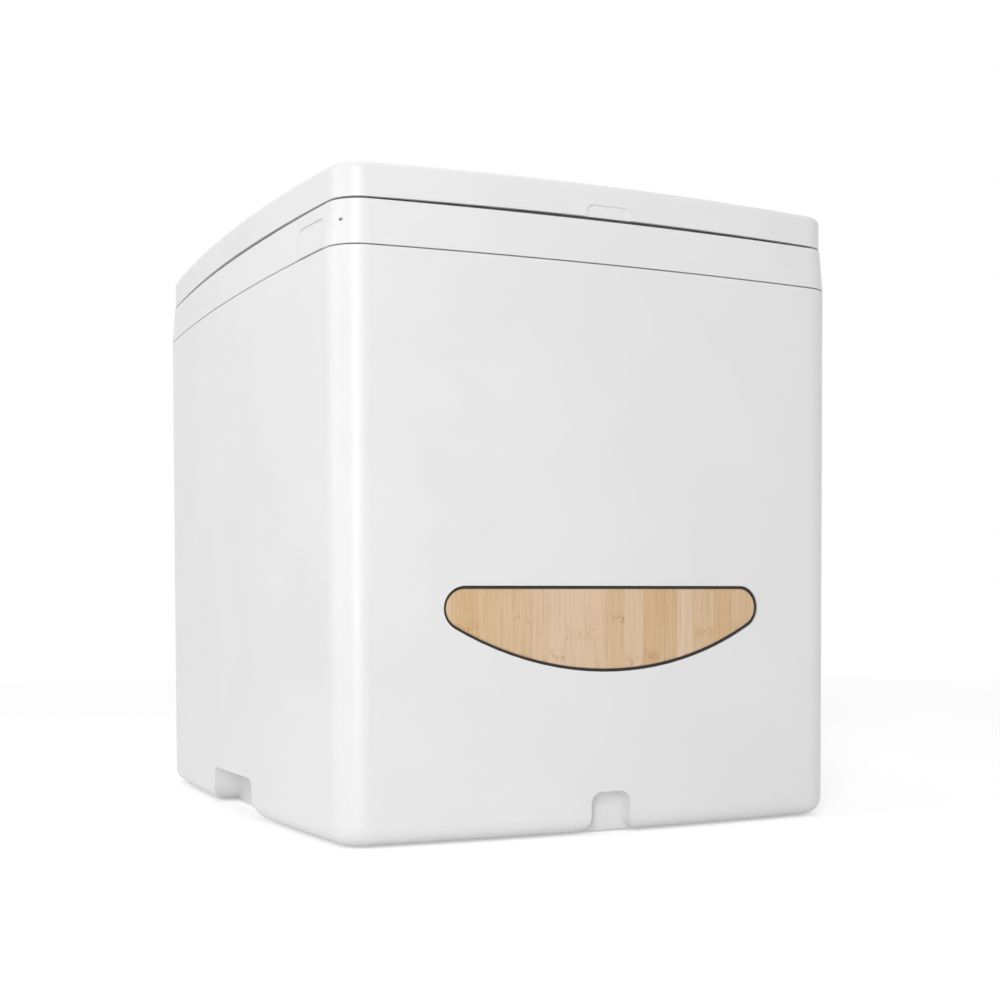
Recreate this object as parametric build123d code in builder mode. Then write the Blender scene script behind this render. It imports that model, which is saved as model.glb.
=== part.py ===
"""A portable dry toilet: a bowed box housing with a bamboo inlay, a hinged top frame and a sealing lid.

The front faces -Y, +X is to the right of someone who faces the front, and the feet stand on z = 0.
All sizes are in millimetres.
"""

import os
from math import cos, radians, sin, sqrt

from build123d import *

# The box as a whole
width = 401
depth = 460
side_bow = 10
front_bow = 10
rear_bow = 3
corner_radius = 24.5
tight_corner = 3
foot_proud = 1.5
housing_height = 382.5
housing_draft = 2.0
frame_height = 29.5
frame_lean = 2.0
lid_gap = 1.3
lid_edge_height = 22.6
lid_step = 0.6
lid_crown_radius = 12000
seam_gap = 0.8

# Walls and clearances
wall = 3.2
floor_thickness = 4
skin = 2.4
seat_clearance = 0.3
fixed_gap = 0.05
running_gap = 0.08
base_round = 12

# Frame hinge on the rear wall
knuckle_radius = 4.2
hinge_axis_out = 4.9
frame_hinge_pin_radius = 2
frame_hinge_margin = 100
leaf_width = 42
leaf_height = 22
leaf_thickness = 2
leaf_recess = 1.6
leaf_corner = 2
middle_knuckle = 18
knuckle_gap = 0.4
hinge_pin_head = 1

# Heights and depths that follow
hinge_proud = hinge_axis_out + knuckle_radius
front_y = -(depth + hinge_proud) / 2
rear_y = front_y + depth
middle_y = (front_y + rear_y) / 2
base_z = foot_proud
floor_z = base_z + floor_thickness
seam_z = base_z + housing_height
rim_z = seam_z - seam_gap / 2
frame_bottom_z = seam_z + seam_gap / 2
frame_top_z = seam_z + frame_height
lid_bottom_z = frame_top_z + lid_gap
lid_edge_z = lid_bottom_z + lid_edge_height
lid_inset = frame_lean + lid_step
hinge_y = rear_y + hinge_axis_out
frame_hinge_offset = width / 2 - frame_hinge_margin

# Bamboo inlay, a smile on the front wall
smile_top = 168
smile_height = 58
smile_arc_radius = 230
smile_tip_radius = 15
inlay_recess = 4.4
panel_thickness = 3.6
panel_sink = 0.5
panel_margin = 2
gasket_sink = 1.5

# Arched notch at the bottom of the front
notch_width = 30
notch_height = 27.8
notch_depth = 16
notch_top_radius = 8
notch_flare = 11

# Hand-holds at the bottom of the sides
hold_length = 100
hold_height = 28
hold_depth = 25
hold_top_radius = 7
hold_flare = 20

# Rim ledge and the seals between housing and frame
ledge_drop = 12
ledge_width = 9
ledge_thickness = 3
seal_offset = 5.8
seal_width = 5.4
seal_height = 3.7
frame_lip_offset = 6.8
frame_lip_width = 3
frame_flange = 2.2

# Feet
foot_radius = 13
foot_thickness = 3
foot_inset = 48

# Liquid tank in the front of the housing
tank_front_margin = 22
tank_side_margin = 47
tank_bin_gap = 8
tank_height = 236
tank_wall = 2.2
tank_corner = 18
tank_edge_round = 6
tank_neck_radius = 19
tank_neck_bore = 16
tank_neck_height = 12
pour_neck_radius = 16
pour_neck_bore = 12.5
pour_neck_height = 16
pour_neck_margin = 48
cap_radius = 20
cap_height = 15
cap_top = 3
cap_rib_count = 18
cap_groove_radius = 1.1
cap_seal_thickness = 1.5
grip_margin = 56
grip_span = 88
grip_rise = 34
grip_bar_radius = 5

# Solids bin in the rear of the housing
bin_drain_clear = 38.5
bin_rear_margin = 18
bin_side_margin = 42
bin_height = 292
bin_taper = 9
bin_wall = 2.4
bin_corner = 34
bin_lip = 6
bin_lip_thickness = 3
bag_ring_width = 9
bag_ring_thickness = 3
cradle_height = 8
cradle_rib = 2.4
cradle_gap = 1

# Fan, filter and power inlet in the rear wall
fan_size = 40
fan_thickness = 10
fan_bore_radius = 18.9
fan_hub_radius = 9
fan_blade_radius = 18.2
fan_blade_count = 7
fan_blade_pitch = 38
fan_blade_thickness = 1.1
fan_blade_setback = 1
fan_corner = 3
fan_margin = 70
fan_z = 336
fan_strut_thickness = 2
fan_strut_width = 2.4
fan_shaft_radius = 1.2
duct_gap = 0.3
duct_wall = 2.4
filter_thickness = 8
cover_size = 50
cover_thickness = 2.5
cover_gap = 0.4
cover_sink = 2.2
cover_corner = 3
louvre_count = 6
louvre_width = 32
louvre_height = 2.2
louvre_pitch = 5.4
inlet_margin = 65
inlet_z = 60
inlet_bore_radius = 3.2
inlet_bore_depth = 9
inlet_body_size = 11.2
inlet_body_length = 13
inlet_plate_width = 20
inlet_plate_height = 16
inlet_plate_thickness = 1.4
inlet_corner = 2
inlet_sink = 3.4

# Top frame, seat and bowl
deck_thickness = 3.5
frame_top_round = 1.2
seam_round = 0.5
seat_front_margin = 24
seat_rear_margin = 44
seat_side_margin = 24
seat_corner = 70
seat_thickness = 17
seat_round = 6
seat_inner_round = 8
seat_wall = 4
seat_rib_width = 3
seat_rib_count = 12
seat_hole_width = 206
seat_hole_length = 268
seat_hole_forward = 8
bowl_wall = 2.4
bowl_top_width = 222
bowl_top_length = 290
bowl_floor_width = 196
bowl_floor_length = 258
bowl_floor_drop = 36
bowl_flange_width = 11
bowl_flange_thickness = 2.6
bowl_gasket_thickness = 1.2
chute_back = 48
chute_width = 160
chute_length = 122
chute_foot_width = 134
chute_foot_length = 110
chute_foot_clear = 6
basin_forward = 82
basin_width = 140
basin_length = 74
basin_depth = 44
drain_radius = 9
drain_seal_thickness = 4

# Side latches in the frame
latch_front = 36.2
latch_length = 40.7
latch_bottom = 0.8
latch_top = 18.9
latch_top_gap = 0.35
latch_groove_height = 1.6
latch_groove_depth = 1.2
latch_groove_corner = 4.5
latch_side_gap = 0.5
latch_corner = 3
latch_thickness = 3
latch_axis_inset = 8.5
latch_axis_height = 16
latch_barrel_radius = 2.6
latch_barrel_length = 28
latch_pin_radius = 1
latch_arm_inset = 5.2
latch_arm_thickness = 2.4
latch_arm_drop = 7.8
latch_arm_length = 26
latch_nib = 0.5
latch_nib_height = 2
latch_root = 1
catch_reach = 1.2
catch_height = 2.4
catch_drop = 3
lug_thickness = 4
lug_gap = 0.4
lug_cover = 0.9
lug_reach = 4
latch_slot_gap = 3

# Lid and its hinge
lid_wall = 2.8
lid_round = 4
lid_arch = 1.1
lid_axis_forward = 15
lid_axis_rise = 12.7
lid_nose_radius = 12.4
lid_crown_rise = 3
lid_pin_radius = 3
lid_pin_grip = 14
lid_post_margin = 59
lid_post_width = 18
lid_post_radius = 7.5
lid_notch_gap = 1
lid_notch_front = 9.5
post_flange = 7
post_flange_thickness = 2.6
finger_width = 34
finger_height = 9.2
finger_depth = 1.5
finger_corner = 5
liner_gap = 0.3
liner_wall = 1.8
liner_flange_width = 14
liner_flange_rise = 6
liner_flange_thickness = 2.2
lid_seal_width = 5
lid_seal_margin = 4
bumper_radius = 6
bumper_inset = 52

# Screws
screw_head_radius = 3.4
screw_head_depth = 1.5
screw_shank_radius = 1.6
screw_length = 7
leaf_screw_spacing = 28
leaf_screw_drop = 16.5

lid_post_offset = width / 2 - lid_post_margin
lid_axis_y = rear_y - lid_axis_forward
lid_axis_z = frame_top_z + lid_axis_rise
lid_room_rear = lid_axis_forward + lid_nose_radius + lid_wall
lid_peak_z = lid_edge_z + lid_crown_rise
deck_z = frame_top_z - deck_thickness
seat_top_z = frame_top_z + seat_thickness
seat_middle_y = (front_y + seat_front_margin + rear_y - seat_rear_margin) / 2
hole_y = seat_middle_y - seat_hole_forward
chute_y = hole_y + chute_back
drain_y = hole_y - basin_forward
bin_front_y = drain_y + bin_drain_clear
bin_width = width - 2 * bin_side_margin
tank_front_y = front_y + tank_front_margin
tank_depth = bin_front_y - tank_bin_gap - tank_front_y
tank_width = width - 2 * tank_side_margin
tank_y = tank_front_y + tank_depth / 2
tank_top_z = floor_z + tank_height
tank_neck_z = tank_top_z + tank_neck_height
pour_neck_x = pour_neck_margin - tank_width / 2
grip_x = tank_width / 2 - grip_margin
bin_rear_y = rear_y - bin_rear_margin
bin_y = (bin_front_y + bin_rear_y) / 2
bin_length = bin_rear_y - bin_front_y
bin_top_z = floor_z + bin_height
bag_ring_z = bin_top_z + bag_ring_thickness
latch_y = front_y + latch_front + latch_length / 2
fan_x = fan_margin - width / 2
inlet_x = width / 2 - inlet_margin

os.makedirs("parts", exist_ok=True)


def save(part, name):
    """Name a finished piece and write it to its own file."""
    part.label = name
    export_step(part, f"parts/{name}.step")


def plan(inset, z, rear_cut=0, corner=None):
    """Give the box's bowed plan at height z, drawn in by inset, and by rear_cut more at the back."""
    half_width = width / 2 - side_bow - inset
    front = front_y + front_bow + inset
    rear = rear_y - rear_bow - inset - rear_cut
    middle = (front + rear) / 2
    radius = corner or max(corner_radius - inset, tight_corner)
    with BuildSketch(Plane.XY.offset(z)) as outline:
        with BuildLine():
            ThreePointArc((-half_width, front), (0, front - front_bow), (half_width, front))
            ThreePointArc((half_width, front), (half_width + side_bow, middle), (half_width, rear))
            ThreePointArc((half_width, rear), (0, rear + rear_bow), (-half_width, rear))
            ThreePointArc((-half_width, rear), (-half_width - side_bow, middle), (-half_width, front))
        make_face()
        fillet(outline.vertices(), radius)
    return outline.sketch


def housing_fill(inset, z_low, z_high, mode=Mode.ADD):
    """Fill the housing's drafted plan between two heights, drawn in by inset."""
    low = plan(inset + housing_draft * (seam_z - z_low) / housing_height, z_low)
    high = plan(inset + housing_draft * (seam_z - z_high) / housing_height, z_high)
    loft([low, high], mode=mode)


def frame_fill(inset, z_low, z_high, mode=Mode.ADD):
    """Fill the top frame's leaning plan between two heights, drawn in by inset."""
    low = plan(inset + frame_lean * (z_low - seam_z) / frame_height, z_low)
    high = plan(inset + frame_lean * (z_high - seam_z) / frame_height, z_high)
    loft([low, high], mode=mode)


def ellipse(half_x, half_y, centre_y, z):
    """Give an ellipse at height z, centred on the box's middle plane."""
    with BuildSketch(Plane((0, centre_y, z))) as outline:
        Ellipse(half_x, half_y)
    return outline.sketch


def rounded_box(size_x, size_y, corner, centre_y, z):
    """Give a rounded rectangle at height z, centred on the box's middle plane."""
    with BuildSketch(Plane((0, centre_y, z))) as outline:
        RectangleRounded(size_x, size_y, corner)
    return outline.sketch


def side_wall_x(y):
    """Give the half width of the box at the seam, y along its bowed side."""
    half_chord = depth / 2 - (front_bow + rear_bow) / 2
    middle = middle_y + (front_bow - rear_bow) / 2
    radius = (half_chord**2 + side_bow**2) / (2 * side_bow)
    return width / 2 - radius + sqrt(radius**2 - (y - middle) ** 2)


def smile(margin):
    """Give the smile on the front plane, grown by margin: a flat top over one wide arc, with round tips."""
    arc_radius = smile_arc_radius + margin
    top = smile_top + margin
    arc_centre = smile_top - smile_height + smile_arc_radius
    half_chord = sqrt(arc_radius**2 - (arc_centre - top) ** 2)
    with BuildSketch(Plane((0, front_y, 0), x_dir=(1, 0, 0), z_dir=(0, -1, 0))) as outline:
        with BuildLine():
            Line((-half_chord, top), (half_chord, top))
            ThreePointArc((half_chord, top), (0, arc_centre - arc_radius), (-half_chord, top))
        make_face()
        fillet(outline.vertices(), smile_tip_radius + margin)
    return outline.sketch


def notch(margin):
    """Give the front notch, grown by margin: an arch whose foot flares out to the base."""
    half = notch_width / 2 + margin
    top = base_z + notch_height + margin
    with BuildSketch(Plane((0, front_y, 0), x_dir=(1, 0, 0), z_dir=(0, -1, 0))) as outline:
        with Locations((0, top / 2)):
            arch = Rectangle(2 * half, top)
        fillet(arch.vertices().group_by(Axis.Y)[-1], notch_top_radius + margin)
        with Locations((0, (base_z + notch_flare) / 2)):
            Rectangle(2 * (half + notch_flare), base_z + notch_flare)
        with Locations((half + notch_flare, base_z + notch_flare), (-half - notch_flare, base_z + notch_flare)):
            Circle(notch_flare, mode=Mode.SUBTRACT)
    return outline.sketch


def hand_hold(margin, side):
    """Give a side hand-hold, grown by margin: a long slot whose foot flares out to the base."""
    half = hold_length / 2 + margin
    top = base_z + hold_height + margin
    back = Plane((side * (width / 2 - hold_depth - margin), middle_y, 0), x_dir=(0, side, 0), z_dir=(side, 0, 0))
    with BuildSketch(back) as outline:
        with Locations((0, top / 2)):
            slot = Rectangle(2 * half, top)
        fillet(slot.vertices().group_by(Axis.Y)[-1], hold_top_radius + margin)
        with Locations((0, (base_z + hold_flare) / 2)):
            Rectangle(2 * (half + hold_flare), base_z + hold_flare)
        with Locations((half + hold_flare, base_z + hold_flare), (-half - hold_flare, base_z + hold_flare)):
            Circle(hold_flare, mode=Mode.SUBTRACT)
    return outline.sketch


def rear_plane(x, y, z):
    """Give a plane that looks at the rear wall from behind, centred on a point."""
    return Plane((x, y, z), x_dir=(-1, 0, 0), z_dir=(0, 1, 0))


def hinge_tube(radius, x_from, x_to, y, z):
    """Give a round bar along X between two places."""
    with BuildPart(Plane((x_from, y, z), z_dir=(1, 0, 0))) as bar:
        Cylinder(radius, x_to - x_from, align=(Align.CENTER, Align.CENTER, Align.MIN))
    return bar.part


# Housing

with BuildPart() as inlay_skin:
    extrude(smile(skin), amount=-(front_bow + inlay_recess + skin + wall))
    housing_fill(inlay_recess + skin, base_z, seam_z, mode=Mode.SUBTRACT)

with BuildPart() as inlay_cut:
    extrude(smile(0), amount=-(front_bow + inlay_recess + wall))
    housing_fill(inlay_recess, base_z, seam_z, mode=Mode.SUBTRACT)

duct_half = fan_size / 2 + duct_gap
cover_face_y = rear_y - cover_sink
cover_back_y = cover_face_y - cover_thickness
filter_y = cover_back_y - duct_gap
fan_y = filter_y - filter_thickness - duct_gap
duct_end_y = fan_y - fan_thickness - duct_gap - duct_wall
leaf_face_y = rear_y - leaf_recess
ledge_z = seam_z - ledge_drop

with BuildPart() as housing_space:
    housing_fill(wall, floor_z, ledge_z - ledge_thickness)
    housing_fill(wall + ledge_width, ledge_z - ledge_thickness - wall, seam_z)
    housing_fill(wall, ledge_z, seam_z)
    add(inlay_skin.part, mode=Mode.SUBTRACT)
    extrude(notch(skin), amount=-(notch_depth + skin), mode=Mode.SUBTRACT)
    for side in (-1, 1):
        extrude(hand_hold(skin, side), amount=hold_depth + 2 * skin, mode=Mode.SUBTRACT)
    with BuildSketch(rear_plane(fan_x, rear_y, fan_z)):
        Rectangle(2 * (duct_half + duct_wall), 2 * (duct_half + duct_wall))
    extrude(amount=-(rear_y - duct_end_y), mode=Mode.SUBTRACT)
    for side in (-1, 1):
        boss_low = seam_z - leaf_height - skin
        with BuildSketch(rear_plane(side * frame_hinge_offset, rear_y, (boss_low + ledge_z) / 2)):
            Rectangle(leaf_width + 2 * skin, ledge_z - boss_low)
        extrude(amount=-(leaf_recess + screw_length + skin), mode=Mode.SUBTRACT)
    with BuildSketch(rear_plane(inlet_x, rear_y, inlet_z)):
        Rectangle(inlet_plate_width + 2 * skin, inlet_plate_height + 2 * skin)
    extrude(amount=-(rear_bow + wall + skin), mode=Mode.SUBTRACT)

bin_foot_width = bin_width - 2 * bin_taper
bin_foot_length = bin_length - 2 * bin_taper
cradles = (
    (tank_width + 2 * cradle_gap, tank_depth + 2 * cradle_gap, tank_corner, tank_y),
    (bin_foot_width + 2 * cradle_gap, bin_foot_length + 2 * cradle_gap, bin_corner, bin_y),
)

with BuildPart() as outer_body:
    housing_fill(0, base_z, rim_z)
    fillet(outer_body.edges().group_by(Axis.Z)[0], base_round)
    fillet(outer_body.edges().group_by(Axis.Z)[-1], seam_round)
    add(housing_space.part, mode=Mode.SUBTRACT)
    for length, span, corner, place in cradles:
        rib = rounded_box(length + 2 * cradle_rib, span + 2 * cradle_rib, corner + cradle_gap, place, floor_z)
        extrude(rib, amount=cradle_height)
    for length, span, corner, place in cradles:
        pocket = rounded_box(length, span, corner, place, floor_z)
        extrude(pocket, amount=cradle_height, mode=Mode.SUBTRACT)
    add(inlay_cut.part, mode=Mode.SUBTRACT)
    extrude(notch(0), amount=-notch_depth, mode=Mode.SUBTRACT)
    for side in (-1, 1):
        extrude(hand_hold(0, side), amount=hold_depth + skin, mode=Mode.SUBTRACT)
    with BuildSketch(Plane.XY):
        for side in (-1, 1):
            with Locations((side * (width / 2 - foot_inset), front_y + foot_inset)):
                Circle(foot_radius + fixed_gap)
            with Locations((side * (width / 2 - foot_inset), rear_y - foot_inset)):
                Circle(foot_radius + fixed_gap)
    extrude(amount=foot_thickness, mode=Mode.SUBTRACT)
    with BuildSketch(rear_plane(fan_x, rear_y + knuckle_radius, fan_z)):
        Rectangle(cover_size + 2 * cover_gap, cover_size + 2 * cover_gap)
    extrude(amount=-(rear_y + knuckle_radius - cover_back_y), mode=Mode.SUBTRACT)
    with BuildSketch(rear_plane(fan_x, cover_back_y, fan_z)):
        Rectangle(2 * duct_half, 2 * duct_half)
    extrude(amount=-(cover_back_y - duct_end_y - duct_wall), mode=Mode.SUBTRACT)
    with BuildSketch(rear_plane(fan_x, cover_back_y, fan_z)):
        Circle(fan_bore_radius)
    extrude(amount=-(cover_back_y - duct_end_y), mode=Mode.SUBTRACT)
    for side in (-1, 1):
        with BuildSketch(rear_plane(side * frame_hinge_offset, leaf_face_y, seam_z - leaf_height / 2)):
            Rectangle(leaf_width + 2 * seat_clearance, leaf_height + 2 * seat_clearance)
        extrude(amount=leaf_recess + knuckle_radius, mode=Mode.SUBTRACT)
        for end in (-1, 1):
            screw_x = side * frame_hinge_offset + end * leaf_screw_spacing / 2
            with BuildSketch(rear_plane(screw_x, leaf_face_y, seam_z - leaf_screw_drop)):
                Circle(screw_shank_radius + fixed_gap)
            extrude(amount=-(screw_length + skin / 2), mode=Mode.SUBTRACT)
    with BuildSketch(rear_plane(inlet_x, rear_y, inlet_z)):
        Rectangle(inlet_body_size + 2 * fixed_gap, inlet_body_size + 2 * fixed_gap)
    extrude(amount=-(rear_bow + wall + 2 * skin), mode=Mode.SUBTRACT)
    with BuildSketch(rear_plane(inlet_x, rear_y - inlet_sink, inlet_z)):
        RectangleRounded(inlet_plate_width + 2 * fixed_gap, inlet_plate_height + 2 * fixed_gap, inlet_corner)
    extrude(amount=inlet_sink + skin, mode=Mode.SUBTRACT)
    for side in (-1, 1):
        catch_z = seam_z - catch_drop
        with BuildSketch(Plane.XY.offset(catch_z - catch_height)):
            add(plan(wall - fixed_gap, catch_z))
            add(plan(wall + catch_reach, catch_z), mode=Mode.SUBTRACT)
            with Locations((side * width / 2, latch_y)):
                Rectangle(width / 2, latch_arm_length, mode=Mode.INTERSECT)
        extrude(amount=catch_height)

save(outer_body.part, "outer_body")

with BuildPart() as feet:
    with BuildSketch(Plane.XY):
        for side in (-1, 1):
            with Locations((side * (width / 2 - foot_inset), front_y + foot_inset)):
                Circle(foot_radius)
            with Locations((side * (width / 2 - foot_inset), rear_y - foot_inset)):
                Circle(foot_radius)
    extrude(amount=foot_thickness)
    chamfer(feet.edges().group_by(Axis.Z)[0], foot_proud / 3)

save(feet.part, "feet")

with BuildPart() as bamboo_panel:
    housing_fill(panel_sink, base_z + notch_height, seam_z - ledge_drop)
    housing_fill(panel_sink + panel_thickness, base_z + notch_height, seam_z - ledge_drop, mode=Mode.SUBTRACT)
    extrude(smile(-panel_margin), amount=-(front_bow + inlay_recess + wall), mode=Mode.INTERSECT)

save(bamboo_panel.part, "bamboo_panel")

with BuildPart() as panel_gasket:
    housing_fill(gasket_sink, base_z + notch_height, seam_z - ledge_drop)
    housing_fill(inlay_recess - fixed_gap, base_z + notch_height, seam_z - ledge_drop, mode=Mode.SUBTRACT)
    extrude(smile(-fixed_gap), amount=-(front_bow + inlay_recess + wall), mode=Mode.INTERSECT)
    extrude(smile(fixed_gap - panel_margin), amount=-(front_bow + inlay_recess + wall), mode=Mode.SUBTRACT)

save(panel_gasket.part, "panel_gasket")

with BuildPart() as frame_seal:
    with BuildSketch(Plane.XY.offset(ledge_z)):
        add(plan(seal_offset, ledge_z))
        add(plan(seal_offset + seal_width, ledge_z), mode=Mode.SUBTRACT)
    extrude(amount=seal_height)
    fillet(frame_seal.edges().group_by(Axis.Z)[-1], seal_height / 3)

save(frame_seal.part, "frame_seal")

# Liquid tank with its cap

with BuildPart() as tank_hollow:
    tank_room_x = tank_width - 2 * tank_wall
    tank_room_y = tank_depth - 2 * tank_wall
    extrude(rounded_box(tank_room_x, tank_room_y, tank_corner - tank_wall, tank_y, floor_z + tank_wall),
            amount=tank_height - 2 * tank_wall)
    fillet(tank_hollow.edges().group_by(Axis.Z)[0], tank_edge_round - tank_wall)
    fillet(tank_hollow.edges().group_by(Axis.Z)[-1], tank_edge_round - tank_wall)

with BuildPart() as liquid_tank:
    extrude(rounded_box(tank_width, tank_depth, tank_corner, tank_y, floor_z), amount=tank_height)
    fillet(liquid_tank.edges().group_by(Axis.Z)[0], tank_edge_round)
    fillet(liquid_tank.edges().group_by(Axis.Z)[-1], tank_edge_round)
    with BuildSketch(Plane.XY.offset(tank_top_z - tank_wall / 2)):
        with Locations((0, drain_y)):
            Circle(tank_neck_radius)
    extrude(amount=tank_neck_height + tank_wall / 2)
    with BuildSketch(Plane.XY.offset(tank_top_z - tank_wall / 2)):
        with Locations((pour_neck_x, tank_y)):
            Circle(pour_neck_radius)
    extrude(amount=pour_neck_height + tank_wall / 2)
    with BuildSketch(Plane.XZ.offset(-tank_y)):
        with Locations((grip_x, tank_top_z - tank_wall / 2)):
            SlotOverall(grip_span, 2 * grip_rise)
            SlotOverall(grip_span - 4 * grip_bar_radius, 2 * (grip_rise - 2 * grip_bar_radius), mode=Mode.SUBTRACT)
        with Locations((grip_x, tank_top_z - tank_wall / 2 + grip_rise / 2)):
            Rectangle(grip_span, grip_rise, mode=Mode.INTERSECT)
    extrude(amount=grip_bar_radius, both=True)
    add(tank_hollow.part, mode=Mode.SUBTRACT)
    with BuildSketch(Plane.XY.offset(tank_neck_z)):
        with Locations((0, drain_y)):
            Circle(tank_neck_bore)
    extrude(amount=-(tank_neck_height + 2 * tank_wall), mode=Mode.SUBTRACT)
    with BuildSketch(Plane.XY.offset(tank_top_z + pour_neck_height)):
        with Locations((pour_neck_x, tank_y)):
            Circle(pour_neck_bore)
    extrude(amount=-(pour_neck_height + 2 * tank_wall), mode=Mode.SUBTRACT)

save(liquid_tank.part, "liquid_tank")

cap_seat_z = tank_top_z + pour_neck_height
cap_seal_z = cap_seat_z + fixed_gap
cap_roof_z = cap_seal_z + cap_seal_thickness + fixed_gap

with BuildPart() as cap_seal:
    with BuildSketch(Plane.XY.offset(cap_seal_z)):
        with Locations((pour_neck_x, tank_y)):
            Circle(pour_neck_radius)
    extrude(amount=cap_seal_thickness)

save(cap_seal.part, "cap_seal")

with BuildPart() as tank_cap:
    with BuildSketch(Plane.XY.offset(cap_roof_z + cap_top)):
        with Locations((pour_neck_x, tank_y)):
            Circle(cap_radius)
    extrude(amount=-cap_height)
    fillet(tank_cap.edges().group_by(Axis.Z)[-1], cap_top / 2)
    with BuildSketch(Plane.XY.offset(cap_roof_z)):
        with Locations((pour_neck_x, tank_y)):
            Circle(pour_neck_radius + seat_clearance)
    extrude(amount=-cap_height, mode=Mode.SUBTRACT)
    with BuildSketch(Plane.XY.offset(cap_roof_z)):
        with Locations((pour_neck_x, tank_y)):
            with PolarLocations(cap_radius, cap_rib_count):
                Circle(cap_groove_radius)
    extrude(amount=-cap_height, mode=Mode.SUBTRACT)

save(tank_cap.part, "tank_cap")

# Solids bin with its bag ring

bin_room_width = bin_width - 2 * bin_wall
bin_room_length = bin_length - 2 * bin_wall

with BuildPart() as solids_bin:
    foot_outline = rounded_box(bin_foot_width, bin_foot_length, bin_corner, bin_y, floor_z)
    rim_outline = rounded_box(bin_width, bin_length, bin_corner, bin_y, bin_top_z)
    loft([foot_outline, rim_outline])
    fillet(solids_bin.edges().group_by(Axis.Z)[0], tank_edge_round)
    extrude(rounded_box(bin_width + 2 * bin_lip, bin_length + 2 * bin_lip, bin_corner + bin_lip, bin_y, bin_top_z),
            amount=-bin_lip_thickness)
    room_low = rounded_box(bin_foot_width - 2 * bin_wall, bin_foot_length - 2 * bin_wall, bin_corner - bin_wall,
                           bin_y, floor_z + bin_wall)
    room_high = rounded_box(bin_room_width, bin_room_length, bin_corner - bin_wall, bin_y, bin_top_z)
    loft([room_low, room_high], mode=Mode.SUBTRACT)

save(solids_bin.part, "solids_bin")

with BuildPart() as bag_ring:
    extrude(rounded_box(bin_width + bin_lip, bin_length + bin_lip, bin_corner + bin_lip / 2, bin_y, bin_top_z),
            amount=bag_ring_thickness)
    ring_room_x = bin_width + bin_lip - 2 * bag_ring_width
    ring_room_y = bin_length + bin_lip - 2 * bag_ring_width
    extrude(rounded_box(ring_room_x, ring_room_y, bin_corner - bag_ring_width / 2, bin_y, bin_top_z),
            amount=bag_ring_thickness, mode=Mode.SUBTRACT)
    fillet(bag_ring.edges().group_by(Axis.Z)[-1], bag_ring_thickness / 3)

save(bag_ring.part, "bag_ring")

# Fan, filter and power inlet

with BuildPart() as fan_frame:
    with BuildSketch(rear_plane(fan_x, fan_y, fan_z)):
        RectangleRounded(fan_size, fan_size, fan_corner)
        Circle(fan_bore_radius, mode=Mode.SUBTRACT)
    extrude(amount=-fan_thickness)
    with BuildSketch(rear_plane(fan_x, fan_y, fan_z)):
        Circle(fan_hub_radius)
        Rectangle(2 * fan_bore_radius + fan_shaft_radius, fan_strut_width)
        Rectangle(fan_strut_width, 2 * fan_bore_radius + fan_shaft_radius)
    extrude(amount=-fan_strut_thickness)
    with BuildSketch(rear_plane(fan_x, fan_y, fan_z)):
        Circle(fan_shaft_radius)
    extrude(amount=-(fan_thickness - fan_strut_thickness))

save(fan_frame.part, "fan_frame")

rotor_back_y = fan_y - fan_strut_thickness - seat_clearance
rotor_depth = fan_thickness - fan_strut_thickness - 2 * seat_clearance
blade_chord = (rotor_depth - fan_blade_setback) / sin(radians(fan_blade_pitch))
blade_root = fan_hub_radius - fan_blade_setback

with BuildPart() as fan_rotor:
    with BuildSketch(rear_plane(fan_x, rotor_back_y, fan_z)):
        Circle(fan_hub_radius)
    extrude(amount=-rotor_depth)
    for blade in range(fan_blade_count):
        turn = radians(360 * blade / fan_blade_count)
        outward = Vector(cos(turn), 0, sin(turn))
        sideways = Vector(0, 1, 0).cross(outward)
        chord_way = sideways * cos(radians(fan_blade_pitch)) + Vector(0, 1, 0) * sin(radians(fan_blade_pitch))
        root = Vector(fan_x, rotor_back_y - rotor_depth / 2, fan_z) + outward * blade_root
        with BuildSketch(Plane(root, x_dir=chord_way, z_dir=outward)):
            SlotOverall(blade_chord, fan_blade_thickness)
        extrude(amount=fan_blade_radius - fan_hub_radius)
    with BuildSketch(rear_plane(fan_x, rotor_back_y, fan_z)):
        Circle(fan_shaft_radius + running_gap)
    extrude(amount=-(rotor_depth - fan_blade_setback), mode=Mode.SUBTRACT)

save(fan_rotor.part, "fan_rotor")

with BuildPart() as carbon_filter:
    with BuildSketch(rear_plane(fan_x, filter_y, fan_z)):
        Rectangle(fan_size, fan_size)
    extrude(amount=-filter_thickness)

save(carbon_filter.part, "carbon_filter")

with BuildPart() as filter_cover:
    with BuildSketch(rear_plane(fan_x, cover_face_y, fan_z)):
        RectangleRounded(cover_size, cover_size, cover_corner)
    extrude(amount=-cover_thickness)
    fillet(filter_cover.faces().sort_by(Axis.Y)[-1].edges(), cover_thickness / 3)
    with BuildSketch(rear_plane(fan_x, cover_face_y, fan_z)):
        with GridLocations(0, louvre_pitch, 1, louvre_count):
            SlotOverall(louvre_width, louvre_height)
    extrude(amount=-cover_thickness, mode=Mode.SUBTRACT)

save(filter_cover.part, "filter_cover")

inlet_face_y = rear_y - inlet_sink

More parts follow.
